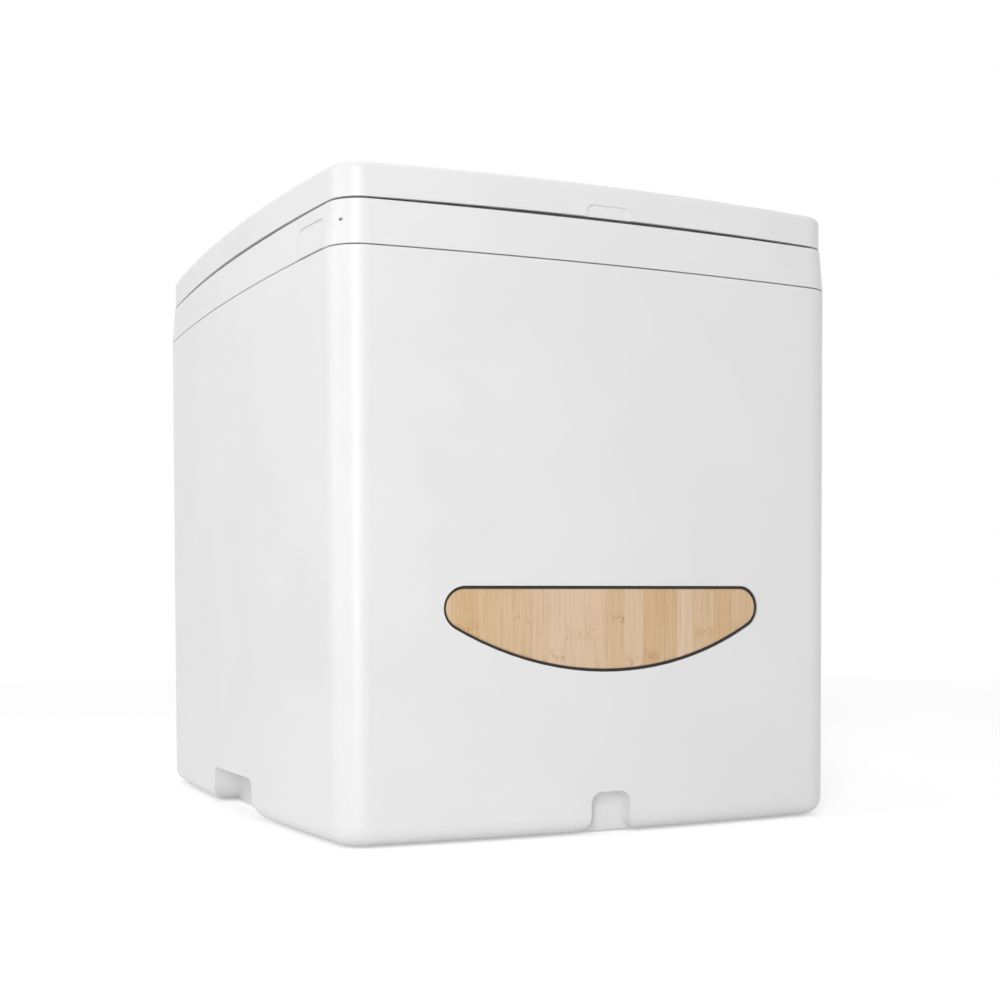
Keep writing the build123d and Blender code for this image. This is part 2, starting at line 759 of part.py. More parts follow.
with BuildPart() as power_inlet:
    with BuildSketch(rear_plane(inlet_x, inlet_face_y, inlet_z)):
        RectangleRounded(inlet_plate_width, inlet_plate_height, inlet_corner)
    extrude(amount=inlet_plate_thickness)
    chamfer(power_inlet.edges().group_by(Axis.Y)[-1], inlet_plate_thickness / 3)
    with BuildSketch(rear_plane(inlet_x, inlet_face_y, inlet_z)):
        Rectangle(inlet_body_size, inlet_body_size)
    extrude(amount=-inlet_body_length)
    with BuildSketch(rear_plane(inlet_x, inlet_face_y + inlet_plate_thickness, inlet_z)):
        Circle(inlet_bore_radius)
    extrude(amount=-inlet_bore_depth, mode=Mode.SUBTRACT)

save(power_inlet.part, "power_inlet")

# Frame hinge: a leaf on the housing, a leaf on the frame and a headed pin, twice


def hinge_leaf(side, up):
    """Give one leaf of a rear hinge; up is 1 for the frame's leaf and -1 for the housing's."""
    leaf_x = side * frame_hinge_offset
    tall = leaf_height - knuckle_gap
    with BuildPart() as leaf:
        with BuildSketch(rear_plane(leaf_x, leaf_face_y, seam_z + up * (knuckle_gap + tall / 2))):
            RectangleRounded(leaf_width, tall, leaf_corner)
        extrude(amount=leaf_thickness)
        with BuildSketch(Plane((leaf_x, 0, 0), x_dir=(0, 1, 0), z_dir=(1, 0, 0))):
            with Locations((hinge_y, seam_z)):
                Circle(knuckle_radius)
            with Locations(((leaf_face_y + hinge_y) / 2, seam_z + up * knuckle_radius / 2)):
                Rectangle(hinge_y - leaf_face_y, knuckle_radius)
        if up == 1:
            extrude(amount=middle_knuckle / 2, both=True)
        else:
            extrude(amount=leaf_width / 2, both=True)
            with BuildSketch(Plane((leaf_x, 0, 0), x_dir=(0, 1, 0), z_dir=(1, 0, 0))):
                with Locations((hinge_y, seam_z)):
                    Circle(knuckle_radius + knuckle_gap)
                with Locations((hinge_y, seam_z)):
                    Rectangle(2 * hinge_axis_out - 2 * seat_clearance, 2 * knuckle_radius + 2 * knuckle_gap)
            extrude(amount=middle_knuckle / 2 + knuckle_gap, both=True, mode=Mode.SUBTRACT)
        with BuildSketch(Plane((leaf_x, 0, 0), x_dir=(0, 1, 0), z_dir=(1, 0, 0))):
            with Locations((hinge_y, seam_z)):
                Circle(frame_hinge_pin_radius + running_gap)
        extrude(amount=leaf_width, both=True, mode=Mode.SUBTRACT)
        for end in (-1, 1):
            screw_x = leaf_x + end * leaf_screw_spacing / 2
            with BuildSketch(rear_plane(screw_x, leaf_face_y, seam_z + up * leaf_screw_drop)):
                Circle(screw_shank_radius + fixed_gap)
            extrude(amount=leaf_thickness, mode=Mode.SUBTRACT)
            with BuildSketch(rear_plane(screw_x, leaf_face_y + leaf_thickness, seam_z + up * leaf_screw_drop)):
                Circle(screw_head_radius + fixed_gap)
            extrude(amount=-screw_head_depth, mode=Mode.SUBTRACT)
    return leaf.part


def hinge_screws(up):
    """Give the four screws that hold the two leaves on one side of the rear hinges."""
    with BuildPart() as screws:
        for side in (-1, 1):
            for end in (-1, 1):
                screw_x = side * frame_hinge_offset + end * leaf_screw_spacing / 2
                screw_z = seam_z + up * leaf_screw_drop
                with BuildSketch(rear_plane(screw_x, leaf_face_y + leaf_thickness, screw_z)):
                    Circle(screw_head_radius)
                extrude(amount=-(screw_head_depth - fixed_gap))
                with BuildSketch(rear_plane(screw_x, leaf_face_y + leaf_thickness, screw_z)):
                    Circle(screw_shank_radius)
                extrude(amount=-(leaf_thickness + screw_length))
    return screws.part


for side, word in ((-1, "left"), (1, "right")):
    save(hinge_leaf(side, -1), f"hinge_leaf_lower_{word}")
    save(hinge_leaf(side, 1), f"hinge_leaf_upper_{word}")
save(hinge_screws(-1), "hinge_screws_lower")
save(hinge_screws(1), "hinge_screws_upper")

with BuildPart() as frame_hinge_pins:
    for side in (-1, 1):
        pin_start = side * frame_hinge_offset - leaf_width / 2 - knuckle_gap
        pin_end = pin_start + leaf_width + 2 * knuckle_gap
        head_start = pin_start - hinge_pin_head
        head_radius = frame_hinge_pin_radius + hinge_pin_head
        add(hinge_tube(frame_hinge_pin_radius, pin_start, pin_end, hinge_y, seam_z))
        add(hinge_tube(head_radius, head_start, pin_start + fixed_gap, hinge_y, seam_z))

save(frame_hinge_pins.part, "frame_hinge_pins")

# Top frame: a skirt that leans in, a deck with the bowl's opening, and a lip that presses on the seal

lip_z = ledge_z + seal_height + seat_clearance
lid_post_z = deck_z - post_flange_thickness
latch_window_top = latch_top + latch_top_gap
latch_groove_top = latch_window_top + latch_groove_height

with BuildPart() as latch_groove:
    frame_fill(-seat_clearance, frame_bottom_z, frame_top_z)
    frame_fill(latch_groove_depth, frame_bottom_z, frame_top_z, mode=Mode.SUBTRACT)
    with BuildSketch(Plane.YZ):
        with Locations((latch_y, seam_z + latch_groove_top / 2)):
            groove = Rectangle(latch_length + 2 * latch_side_gap, latch_groove_top)
        fillet(groove.vertices().group_by(Axis.Y)[-1], latch_groove_corner)
    extrude(amount=width / 2, both=True, mode=Mode.INTERSECT)

with BuildPart() as top_frame:
    frame_fill(0, frame_bottom_z, frame_top_z)
    fillet(top_frame.edges().group_by(Axis.Z)[-1], frame_top_round)
    fillet(top_frame.edges().group_by(Axis.Z)[0], seam_round)
    frame_fill(wall, frame_bottom_z + frame_flange, deck_z, mode=Mode.SUBTRACT)
    frame_fill(frame_lip_offset + frame_lip_width, frame_bottom_z, frame_bottom_z + frame_flange,
               mode=Mode.SUBTRACT)
    with BuildSketch(Plane.XY.offset(lip_z)):
        add(plan(frame_lip_offset, lip_z))
        add(plan(frame_lip_offset + frame_lip_width, lip_z), mode=Mode.SUBTRACT)
    extrude(amount=frame_bottom_z + frame_flange - lip_z)
    with BuildSketch(Plane.XY.offset(deck_z)):
        with Locations((0, hole_y)):
            Ellipse(bowl_top_width / 2, bowl_top_length / 2)
    extrude(amount=deck_thickness, mode=Mode.SUBTRACT)
    for side in (-1, 1):
        pad_width = leaf_width + 2 * skin
        with BuildSketch(rear_plane(side * frame_hinge_offset, leaf_face_y, (frame_bottom_z + deck_z) / 2)):
            Rectangle(pad_width, deck_z - frame_bottom_z)
        extrude(amount=-(screw_length + skin / 2))
        with BuildSketch(rear_plane(side * frame_hinge_offset, leaf_face_y, seam_z + leaf_height / 2)):
            Rectangle(leaf_width + 2 * seat_clearance, leaf_height + 2 * seat_clearance)
        extrude(amount=leaf_recess + knuckle_radius, mode=Mode.SUBTRACT)
        for end in (-1, 1):
            screw_x = side * frame_hinge_offset + end * leaf_screw_spacing / 2
            with BuildSketch(rear_plane(screw_x, leaf_face_y, seam_z + leaf_screw_drop)):
                Circle(screw_shank_radius + fixed_gap)
            extrude(amount=-(screw_length + seat_clearance), mode=Mode.SUBTRACT)
    with BuildSketch(Plane.YZ):
        with Locations((latch_y, seam_z + latch_window_top / 2)):
            window = Rectangle(latch_length + 2 * latch_side_gap, latch_window_top)
        fillet(window.vertices().group_by(Axis.Y)[-1], latch_corner + latch_side_gap)
    extrude(amount=width / 2, both=True, mode=Mode.SUBTRACT)
    add(latch_groove.part, mode=Mode.SUBTRACT)
    with BuildSketch(Plane.YZ):
        with Locations((latch_y, (lip_z + frame_bottom_z + frame_flange) / 2)):
            Rectangle(latch_arm_length + 2 * latch_slot_gap, frame_bottom_z + frame_flange - lip_z)
    extrude(amount=width / 2, both=True, mode=Mode.SUBTRACT)
    for side in (-1, 1):
        lug_x = side * (side_wall_x(latch_y) - latch_axis_inset)
        lug_z = seam_z + latch_axis_height
        with BuildSketch(Plane.XZ.offset(-latch_y)):
            with Locations((lug_x, lug_z)):
                Circle(latch_pin_radius + lug_cover)
            with Locations((lug_x - side * (lug_reach - latch_pin_radius - lug_cover) / 2, (lug_z + deck_z) / 2)):
                Rectangle(lug_reach + latch_pin_radius + lug_cover, deck_z - lug_z)
        extrude(amount=latch_barrel_length / 2 + lug_gap + lug_thickness, both=True)
        with BuildSketch(Plane.XZ.offset(-latch_y)):
            with Locations((lug_x, lug_z)):
                Circle(latch_barrel_radius + 2 * lug_gap)
            with Locations((lug_x, (lug_z + deck_z) / 2)):
                Rectangle(2 * (lug_reach + seat_clearance), deck_z - lug_z)
        extrude(amount=latch_barrel_length / 2 + lug_gap, both=True, mode=Mode.SUBTRACT)
        with BuildSketch(Plane.XZ.offset(-latch_y)):
            with Locations((lug_x, lug_z)):
                Circle(latch_pin_radius + fixed_gap)
        extrude(amount=latch_length, both=True, mode=Mode.SUBTRACT)
    with BuildSketch(Plane.XY.offset(deck_z)):
        with Locations((-lid_post_offset, lid_axis_y), (lid_post_offset, lid_axis_y)):
            Rectangle(lid_post_width + 2 * fixed_gap, 2 * lid_post_radius + 2 * fixed_gap)
    extrude(amount=deck_thickness, mode=Mode.SUBTRACT)

save(top_frame.part, "top_frame")

# Latches: a pad flush with the skirt, a barrel on a pin and an arm that reaches down behind the catch


def wall_slab(inset_out, inset_in, z_low, z_high):
    """Fill a slab as long as the latch's arm that follows the right wall, between two insets."""
    with BuildSketch(Plane.XY.offset(z_low)) as slab:
        add(plan(inset_out, z_low))
        add(plan(inset_in, z_low), mode=Mode.SUBTRACT)
        with Locations((width / 2, latch_y)):
            Rectangle(width / 2, latch_arm_length, mode=Mode.INTERSECT)
    extrude(slab.sketch, amount=z_high - z_low)


latch_axis_x = side_wall_x(latch_y) - latch_axis_inset
latch_axis_z = seam_z + latch_axis_height
arm_foot_z = seam_z - latch_arm_drop

with BuildPart() as latch_right:
    frame_fill(fixed_gap, seam_z + latch_bottom, seam_z + latch_top)
    frame_fill(latch_thickness, seam_z + latch_bottom, seam_z + latch_top, mode=Mode.SUBTRACT)
    with BuildSketch(Plane.YZ):
        with Locations((latch_y, seam_z + (latch_bottom + latch_top) / 2)):
            pad = Rectangle(latch_length, latch_top - latch_bottom)
        fillet(pad.vertices().group_by(Axis.Y)[-1], latch_corner)
    extrude(amount=width, mode=Mode.INTERSECT)
    with BuildSketch(Plane.XZ.offset(-latch_y)):
        with Locations((latch_axis_x, latch_axis_z)):
            Circle(latch_barrel_radius)
    extrude(amount=latch_barrel_length / 2, both=True)
    wall_slab(latch_thickness - latch_root, latch_axis_inset, latch_axis_z - latch_barrel_radius, latch_axis_z)
    wall_slab(latch_arm_inset, latch_arm_inset + latch_arm_thickness, arm_foot_z, latch_axis_z)
    wall_slab(latch_arm_inset - latch_nib, latch_arm_inset + latch_root, arm_foot_z, arm_foot_z + latch_nib_height)
    with BuildSketch(Plane.XZ.offset(-latch_y)):
        with Locations((latch_axis_x, latch_axis_z)):
            Circle(latch_pin_radius + running_gap)
    extrude(amount=latch_length, both=True, mode=Mode.SUBTRACT)

with BuildPart() as latch_left:
    add(latch_right.part)
    mirror(about=Plane.YZ, mode=Mode.REPLACE)

with BuildPart() as latch_pins:
    with BuildSketch(Plane.XZ.offset(-latch_y)):
        with Locations((-latch_axis_x, latch_axis_z), (latch_axis_x, latch_axis_z)):
            Circle(latch_pin_radius)
    extrude(amount=latch_barrel_length / 2 + lug_gap + lug_thickness, both=True)

save(latch_right.part, "latch_right")
save(latch_left.part, "latch_left")
save(latch_pins.part, "latch_pins")

# Seat and the bowl that parts liquid from solids

with BuildPart() as seat:
    extrude(plan(seat_side_margin, frame_top_z, seat_rear_margin - seat_side_margin, seat_corner),
            amount=seat_thickness)
    with BuildSketch(Plane.XY.offset(frame_top_z)):
        with Locations((0, hole_y)):
            Ellipse(seat_hole_width / 2, seat_hole_length / 2)
    extrude(amount=seat_thickness, mode=Mode.SUBTRACT)
    fillet(seat.faces().sort_by(Axis.Z)[-1].outer_wire().edges(), seat_round)
    fillet(seat.faces().sort_by(Axis.Z)[-1].inner_wires().edges(), seat_inner_round)
    inner_margin = seat_side_margin + seat_wall
    with BuildSketch(Plane.XY.offset(frame_top_z)):
        add(plan(inner_margin, frame_top_z, seat_rear_margin - seat_side_margin, seat_corner - seat_wall))
        with Locations((0, hole_y)):
            Ellipse(seat_hole_width / 2 + seat_wall, seat_hole_length / 2 + seat_wall, mode=Mode.SUBTRACT)
            with PolarLocations(0, seat_rib_count):
                Rectangle(depth, seat_rib_width, align=(Align.MIN, Align.CENTER), mode=Mode.SUBTRACT)
    extrude(amount=seat_thickness - seat_wall, mode=Mode.SUBTRACT)

save(seat.part, "seat")

flange_top_z = deck_z - bowl_gasket_thickness
bowl_floor_z = flange_top_z - bowl_floor_drop
chute_foot_z = bag_ring_z + chute_foot_clear
basin_foot_z = bowl_floor_z - basin_depth
drain_foot_z = tank_neck_z + drain_seal_thickness + seat_clearance

with BuildPart() as bowl_gasket:
    with BuildSketch(Plane.XY.offset(flange_top_z)):
        with Locations((0, hole_y)):
            Ellipse(bowl_top_width / 2 + bowl_flange_width, bowl_top_length / 2 + bowl_flange_width)
            Ellipse(bowl_top_width / 2, bowl_top_length / 2, mode=Mode.SUBTRACT)
    extrude(amount=bowl_gasket_thickness)

save(bowl_gasket.part, "bowl_gasket")


def bowl_fill(grow, mode=Mode.ADD):
    """Fill the bowl's dish, chute, basin and drain, each grown by grow, as one form."""
    top = ellipse(bowl_top_width / 2 + grow, bowl_top_length / 2 + grow, hole_y, flange_top_z)
    waist = ellipse(bowl_floor_width / 2 + grow, bowl_floor_length / 2 + grow, hole_y, bowl_floor_z - grow)
    loft([top, waist], mode=mode)
    chute_top = ellipse(chute_width / 2 + grow, chute_length / 2 + grow, chute_y, bowl_floor_z)
    chute_foot = ellipse(chute_foot_width / 2 + grow, chute_foot_length / 2 + grow, chute_y, chute_foot_z)
    loft([chute_top, chute_foot], mode=mode)
    basin_top = ellipse(basin_width / 2 + grow, basin_length / 2 + grow, drain_y, bowl_floor_z)
    basin_foot = ellipse(drain_radius + grow, drain_radius + grow, drain_y, basin_foot_z)
    loft([basin_top, basin_foot], mode=mode)
    extrude(ellipse(drain_radius + grow, drain_radius + grow, drain_y, basin_foot_z),
            amount=drain_foot_z - basin_foot_z, mode=mode)


with BuildPart() as bowl:
    bowl_fill(bowl_wall)
    extrude(ellipse(bowl_top_width / 2 + bowl_flange_width, bowl_top_length / 2 + bowl_flange_width, hole_y,
                    flange_top_z), amount=-bowl_flange_thickness)
    bowl_fill(0, mode=Mode.SUBTRACT)

save(bowl.part, "bowl")

with BuildPart() as drain_seal:
    with BuildSketch(Plane.XY.offset(tank_neck_z)):
        with Locations((0, drain_y)):
            Circle(tank_neck_radius)
            Circle(drain_radius, mode=Mode.SUBTRACT)
    extrude(amount=drain_seal_thickness)
    fillet(drain_seal.edges().group_by(Axis.Z)[-1], drain_seal_thickness / 4)

save(drain_seal.part, "drain_seal")

# Lid posts, pins, shell, liner, seal and bumpers

with BuildPart() as lid_posts:
    with BuildSketch(Plane.YZ.offset(lid_post_offset - lid_post_width / 2)):
        with Locations((lid_axis_y, lid_axis_z)):
            Circle(lid_post_radius)
        with Locations((lid_axis_y, (lid_axis_z + lid_post_z) / 2)):
            Rectangle(2 * lid_post_radius, lid_axis_z - lid_post_z)
    extrude(amount=lid_post_width)
    with BuildSketch(Plane.XY.offset(lid_post_z)):
        with Locations((lid_post_offset, lid_axis_y - post_flange / 2)):
            Rectangle(lid_post_width + 2 * post_flange, 2 * lid_post_radius + post_flange)
    extrude(amount=post_flange_thickness)
    with BuildSketch(Plane.YZ.offset(lid_post_offset - lid_post_width / 2)):
        with Locations((lid_axis_y, lid_axis_z)):
            Circle(lid_pin_radius)
    extrude(amount=lid_post_width, mode=Mode.SUBTRACT)
    mirror(about=Plane.YZ)

save(lid_posts.part, "lid_posts")

with BuildPart() as lid_pins:
    for side in (-1, 1):
        pin_start = side * lid_post_offset - lid_post_width / 2 - lid_notch_gap - lid_pin_grip
        pin_end = side * lid_post_offset + lid_post_width / 2 + lid_notch_gap + lid_pin_grip
        add(hinge_tube(lid_pin_radius, pin_start, pin_end, lid_axis_y, lid_axis_z))

save(lid_pins.part, "lid_pins")


def crown(depth_below, mode=Mode.INTERSECT):
    """Keep what lies under the lid's crown, or under a crown that is lower by depth_below."""
    with Locations((0, middle_y, lid_peak_z - lid_crown_radius)):
        Sphere(lid_crown_radius - depth_below, rotation=(90, 0, 0), mode=mode)


room_inset = lid_inset + lid_wall
liner_inset = room_inset + liner_gap
liner_rear = lid_room_rear + liner_gap
tray_inset = liner_inset + liner_flange_width
tray_rear = liner_rear + liner_flange_width / 2
flange_z = frame_top_z + liner_flange_rise
peak_room = lid_crown_rise + lid_edge_height

with BuildPart() as lid_room:
    extrude(plan(room_inset, lid_bottom_z, lid_room_rear - room_inset), amount=peak_room)
    crown(lid_wall)

with BuildPart() as finger_cut:
    with BuildSketch(Plane((0, front_y, 0), x_dir=(1, 0, 0), z_dir=(0, -1, 0))):
        with Locations((0, lid_bottom_z + finger_height / 2)):
            finger = Rectangle(finger_width, finger_height)
        fillet(finger.vertices().group_by(Axis.Y)[-1], finger_corner)
    extrude(amount=-(front_bow + lid_inset + finger_depth))
    extrude(plan(lid_inset + finger_depth, lid_bottom_z), amount=peak_room, mode=Mode.SUBTRACT)

with BuildPart() as lid_shell:
    extrude(plan(lid_inset, lid_bottom_z), amount=peak_room)
    crown(0)
    fillet(lid_shell.edges().group_by(Axis.Z)[-1], lid_round)
    add(lid_room.part, mode=Mode.SUBTRACT)
    with BuildSketch(Plane.YZ):
        with Locations((lid_axis_y, lid_axis_z)):
            Rectangle(2 * lid_axis_forward, 3 * lid_axis_rise, align=(Align.MIN, Align.CENTER))
            Circle(lid_nose_radius, mode=Mode.SUBTRACT)
    extrude(amount=width / 2, both=True, mode=Mode.SUBTRACT)
    for side in (-1, 1):
        notch_x = side * lid_post_offset - lid_post_width / 2 - lid_notch_gap
        with BuildSketch(Plane.YZ.offset(notch_x)):
            with Locations((lid_axis_y - lid_notch_front, lid_axis_z)):
                Rectangle(3 * lid_axis_forward, 3 * lid_axis_rise, align=(Align.MIN, Align.CENTER))
        extrude(amount=lid_post_width + 2 * lid_notch_gap, mode=Mode.SUBTRACT)
        bore_x = notch_x - lid_pin_grip - seat_clearance
        with BuildSketch(Plane.YZ.offset(bore_x)):
            with Locations((lid_axis_y, lid_axis_z)):
                Circle(lid_pin_radius + running_gap)
        extrude(amount=lid_post_width + 2 * (lid_notch_gap + lid_pin_grip + seat_clearance), mode=Mode.SUBTRACT)
    add(finger_cut.part, mode=Mode.SUBTRACT)
    with BuildSketch(Plane.YZ):
        with BuildLine():
            side_chord = Line((front_y + corner_radius, lid_bottom_z), (rear_y - corner_radius, lid_bottom_z))
            ThreePointArc(side_chord @ 1, (middle_y, lid_bottom_z + lid_arch), side_chord @ 0)
        make_face()
    extrude(amount=width / 2, both=True, mode=Mode.SUBTRACT)
    with BuildSketch(Plane.XZ.offset(-middle_y)):
        with BuildLine():
            half_chord = width / 2 - corner_radius
            front_chord = Line((-half_chord, lid_bottom_z), (half_chord, lid_bottom_z))
            ThreePointArc(front_chord @ 1, (0, lid_bottom_z + lid_arch), front_chord @ 0)
        make_face()
    extrude(amount=depth / 2, both=True, mode=Mode.SUBTRACT)

save(lid_shell.part, "lid_shell")

with BuildPart() as liner_room:
    extrude(plan(tray_inset, flange_z, tray_rear - tray_inset), amount=peak_room)
    crown(lid_wall + liner_gap + liner_wall)

with BuildPart() as lid_liner:
    tray_out = tray_inset - liner_wall
    extrude(plan(tray_out, flange_z, tray_rear - liner_wall - tray_out), amount=peak_room)
    crown(lid_wall + liner_gap)
    extrude(plan(liner_inset, flange_z, liner_rear - liner_inset), amount=liner_flange_thickness)
    add(liner_room.part, mode=Mode.SUBTRACT)

save(lid_liner.part, "lid_liner")

with BuildPart() as lid_seal:
    seal_inset = liner_inset + lid_seal_margin
    seal_rear = liner_rear + lid_seal_margin / 4
    seal_z = frame_top_z + seat_clearance
    with BuildSketch(Plane.XY.offset(seal_z)):
        add(plan(seal_inset, seal_z, seal_rear - seal_inset))
        add(plan(seal_inset + lid_seal_width, seal_z, seal_rear - seal_inset), mode=Mode.SUBTRACT)
    extrude(amount=flange_z - seal_z)
    fillet(lid_seal.edges().group_by(Axis.Z)[0], lid_seal_width / 4)

save(lid_seal.part, "lid_seal")

with BuildPart() as lid_bumpers:
    with BuildSketch(Plane.XY.offset(seat_top_z + seat_clearance)):
        for side in (-1, 1):
            with Locations((side * (width / 2 - bumper_inset), front_y + 2 * bumper_inset)):
                Circle(bumper_radius)
            with Locations((side * (width / 2 - bumper_inset), rear_y - 2 * bumper_inset)):
                Circle(bumper_radius)
    extrude(amount=peak_room)
    crown(lid_wall + liner_gap + liner_wall)

save(lid_bumpers.part, "lid_bumpers")
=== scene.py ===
"""Finishes, small pieces and studio for a portable dry toilet.

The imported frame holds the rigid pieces. This file gives each its finish, builds the pieces that need
finer forms than the frame has, and sets up the floor, the lights and the camera. Sizes are in metres.
"""

import math

import bmesh
import bpy
from mathutils import Matrix, Vector, noise
from mathutils.bvhtree import BVHTree


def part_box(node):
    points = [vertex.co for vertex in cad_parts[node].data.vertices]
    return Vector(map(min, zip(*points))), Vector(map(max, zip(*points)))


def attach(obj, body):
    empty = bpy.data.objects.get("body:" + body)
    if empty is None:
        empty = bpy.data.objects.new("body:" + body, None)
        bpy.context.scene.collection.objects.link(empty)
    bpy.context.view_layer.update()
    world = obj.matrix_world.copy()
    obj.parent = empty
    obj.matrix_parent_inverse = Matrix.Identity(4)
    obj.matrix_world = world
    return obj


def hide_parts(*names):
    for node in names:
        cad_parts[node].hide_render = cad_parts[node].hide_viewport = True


bl_info = {
    "name": "Dry Toilet Dresser",
    "version": (1, 0, 0),
    "blender": (4, 5, 0),
    "location": "3D View > Sidebar > Toilet",
    "description": "Gives a portable dry toilet its finishes, small pieces and studio",
    "category": "Object",
}

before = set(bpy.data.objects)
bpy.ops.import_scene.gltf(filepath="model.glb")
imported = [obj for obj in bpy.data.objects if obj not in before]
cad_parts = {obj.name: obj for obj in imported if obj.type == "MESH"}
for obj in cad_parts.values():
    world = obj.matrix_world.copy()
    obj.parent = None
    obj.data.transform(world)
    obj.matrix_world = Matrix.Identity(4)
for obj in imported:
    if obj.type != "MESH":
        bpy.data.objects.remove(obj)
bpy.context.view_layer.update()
MM = 0.001


def linear(code):
    """Turn an sRGB hex colour into linear red, green and blue."""
    shares = [int(code[i : i + 2], 16) / 255 for i in (0, 2, 4)]
    return tuple(v / 12.92 if v <= 0.04045 else ((v + 0.055) / 1.055) ** 2.4 for v in shares)


def rgba(colour):
    """Give a linear colour the fourth number that a colour socket holds."""
    return (*colour, 1.0)


def colour_property(name, description, code):
    """A colour that a user can change, with its default as an sRGB hex value."""
    return bpy.props.FloatVectorProperty(
        name=name, description=description, subtype="COLOR", size=3, min=0, max=1, default=linear(code)
    )


def length_property(name, description, millimetres):
    """A length that a user can change, with its default in millimetres."""
    return bpy.props.FloatProperty(
        name=name, description=description, unit="LENGTH", min=0, precision=4, default=millimetres * MM
    )


class ShellSettings(bpy.types.PropertyGroup):
    """The white outer mouldings."""

    colour: colour_property("White", "Colour of the white mouldings", "F2F2F2")
    shade: colour_property("Flow shade", "Faint second white where the melt cooled slower", "EFEFEF")
    flow: length_property("Flow size", "Size of the soft patches in the white", 90)
    grain: length_property("Grain", "Size of the spark-eroded grain on the mould", 0.9)


class BambooSettings(bpy.types.PropertyGroup):
    """The inlay of laminated bamboo."""

    pale: colour_property("Pale strip", "Colour of the palest strips", "E6C9AC")
    honey: colour_property("Honey strip", "Colour of the yellowest strips", "D9B587")
    mark: colour_property("Node mark", "Colour of the marks where a cane had a node", "B98A55")
    joint: colour_property("Joint", "Colour of the glue line between strips", "A57F5B")
    strip: length_property("Strip width", "Mean width of one strip", 14)
    fibre: length_property("Fibre width", "Width of one bundle of fibres", 0.55)
    edge: length_property("Edge round", "Radius of the panel's sanded edge", 1.5)


class InsideSettings(bpy.types.PropertyGroup):
    """What shows when the lid or the top frame is open."""

    bowl: colour_property("Bowl", "Colour of the bowl and seat", "DFE1E3")
    tank: colour_property("Tank", "Colour of the blow-moulded tank", "E2E3DC")
    bin: colour_property("Bin", "Colour of the solids bin", "8F9396")
    seal: colour_property("Seal", "Colour of the soft seals", "8B8E90")
    dark: colour_property("Dark plastic", "Colour of the fan, the cap and the power inlet", "26272A")
    # The gasket's near-black is partly painted shade: it also stands in for the shade deep in the gap round
    # the inlay.
    rubber: colour_property("Dark rubber", "Colour of the feet and the inlay's gasket", "1D1714")


class StageSettings(bpy.types.PropertyGroup):
    """The floor, the lights and the camera."""

    strip: bpy.props.FloatProperty(
        name="Strip", description="Power of the tall lamp before the corner", unit="POWER", default=30
    )
    side: bpy.props.FloatProperty(
        name="Side", description="Power of the lamp on the left", unit="POWER", default=8.6
    )
    top: bpy.props.FloatProperty(name="Top", description="Power of the lamp above", unit="POWER", default=8)
    room: bpy.props.FloatProperty(
        name="Room", description="Strength of the even light from all round", min=0, default=0.5
    )


def add(tree, kind, values=(), links=(), **settings):
    """Add a node with its settings, its socket values and its incoming links."""
    node = tree.nodes.new(kind)
    for name, value in settings.items():
        setattr(node, name, value)
    for socket, value in dict(values).items():
        node.inputs[socket].default_value = value
    for socket, source in dict(links).items():
        tree.links.new(source, node.inputs[socket])
    return node


def start(name, **values):
    """Begin a material: its tree, its shader and the point on the piece in metres."""
    material = bpy.data.materials.new(name)
    material.use_nodes = True
    tree = material.node_tree
    tree.nodes.clear()
    shader = add(tree, "ShaderNodeBsdfPrincipled", values)
    add(tree, "ShaderNodeOutputMaterial", links={"Surface": shader.outputs["BSDF"]})
    place = add(tree, "ShaderNodeTexCoord").outputs["Object"]
    return material, tree, shader, place


def mottle(tree, place, size, detail=2.0, stretch=(1, 1, 1)):
    """Soft noise whose patches are size metres across, stretched along some axes."""
    scaled = add(
        tree,
        "ShaderNodeMapping",
        {"Scale": [1 / (size * share) for share in stretch]},
        {"Vector": place},
    )
    patches = add(
        tree, "ShaderNodeTexNoise", {"Scale": 1.0, "Detail": detail}, {"Vector": scaled.outputs["Vector"]}
    )
    return patches.outputs["Fac"]


def spread(tree, value, low, high, to_low=0.0, to_high=1.0):
    """Map a value from one range onto another, held at its ends."""
    node = add(
        tree,
        "ShaderNodeMapRange",
        {"From Min": low, "From Max": high, "To Min": to_low, "To Max": to_high},
        {"Value": value},
    )
    return node.outputs["Result"]


def mixed(tree, factor, first, second):
    """Mix two colours, each a linear colour or a socket."""
    values, links = {}, {"Factor": factor}
    for socket, colour in ((6, first), (7, second)):
        if isinstance(colour, bpy.types.NodeSocket):
            links[socket] = colour
        else:
            values[socket] = rgba(colour)
    return add(tree, "ShaderNodeMix", values, links, data_type="RGBA").outputs[2]


def maths(tree, operation, first, second=None):
    """Do one sum on two values, each a number or a socket."""
    values, links = {}, {}
    for socket, value in ((0, first), (1, second)):
        if isinstance(value, bpy.types.NodeSocket):
            links[socket] = value
        elif value is not None:
            values[socket] = value
    return add(tree, "ShaderNodeMath", values, links, operation=operation).outputs[0]


def bump(tree, shader, height, depth, strength=1.0):
    """Raise the surface by a height from 0 to 1 times depth metres."""
    node = add(tree, "ShaderNodeBump", {"Distance": depth, "Strength": strength}, {"Height": height})
    tree.links.new(node.outputs["Normal"], shader.inputs["Normal"])


def moulded_white_abs(settings):
    """ABS moulded in a spark-eroded tool: an even white satin that softens every reflection."""
    material, tree, shader, place = start("moulded_white_abs", IOR=1.54)
    patches = mottle(tree, place, settings.flow)
    colour = mixed(tree, spread(tree, patches, 0.35, 0.65), settings.colour, settings.shade)
    tree.links.new(colour, shader.inputs["Base Color"])
    rough = spread(tree, mottle(tree, place, settings.flow / 3), 0.3, 0.7, 0.33, 0.39)
    tree.links.new(rough, shader.inputs["Roughness"])
    # The true grain is about 0.05 mm, too fine to show, so it is drawn at the size in the settings.
    bump(tree, shader, mottle(tree, place, settings.grain, 3.0), 0.02 * MM, 0.5)
    return material


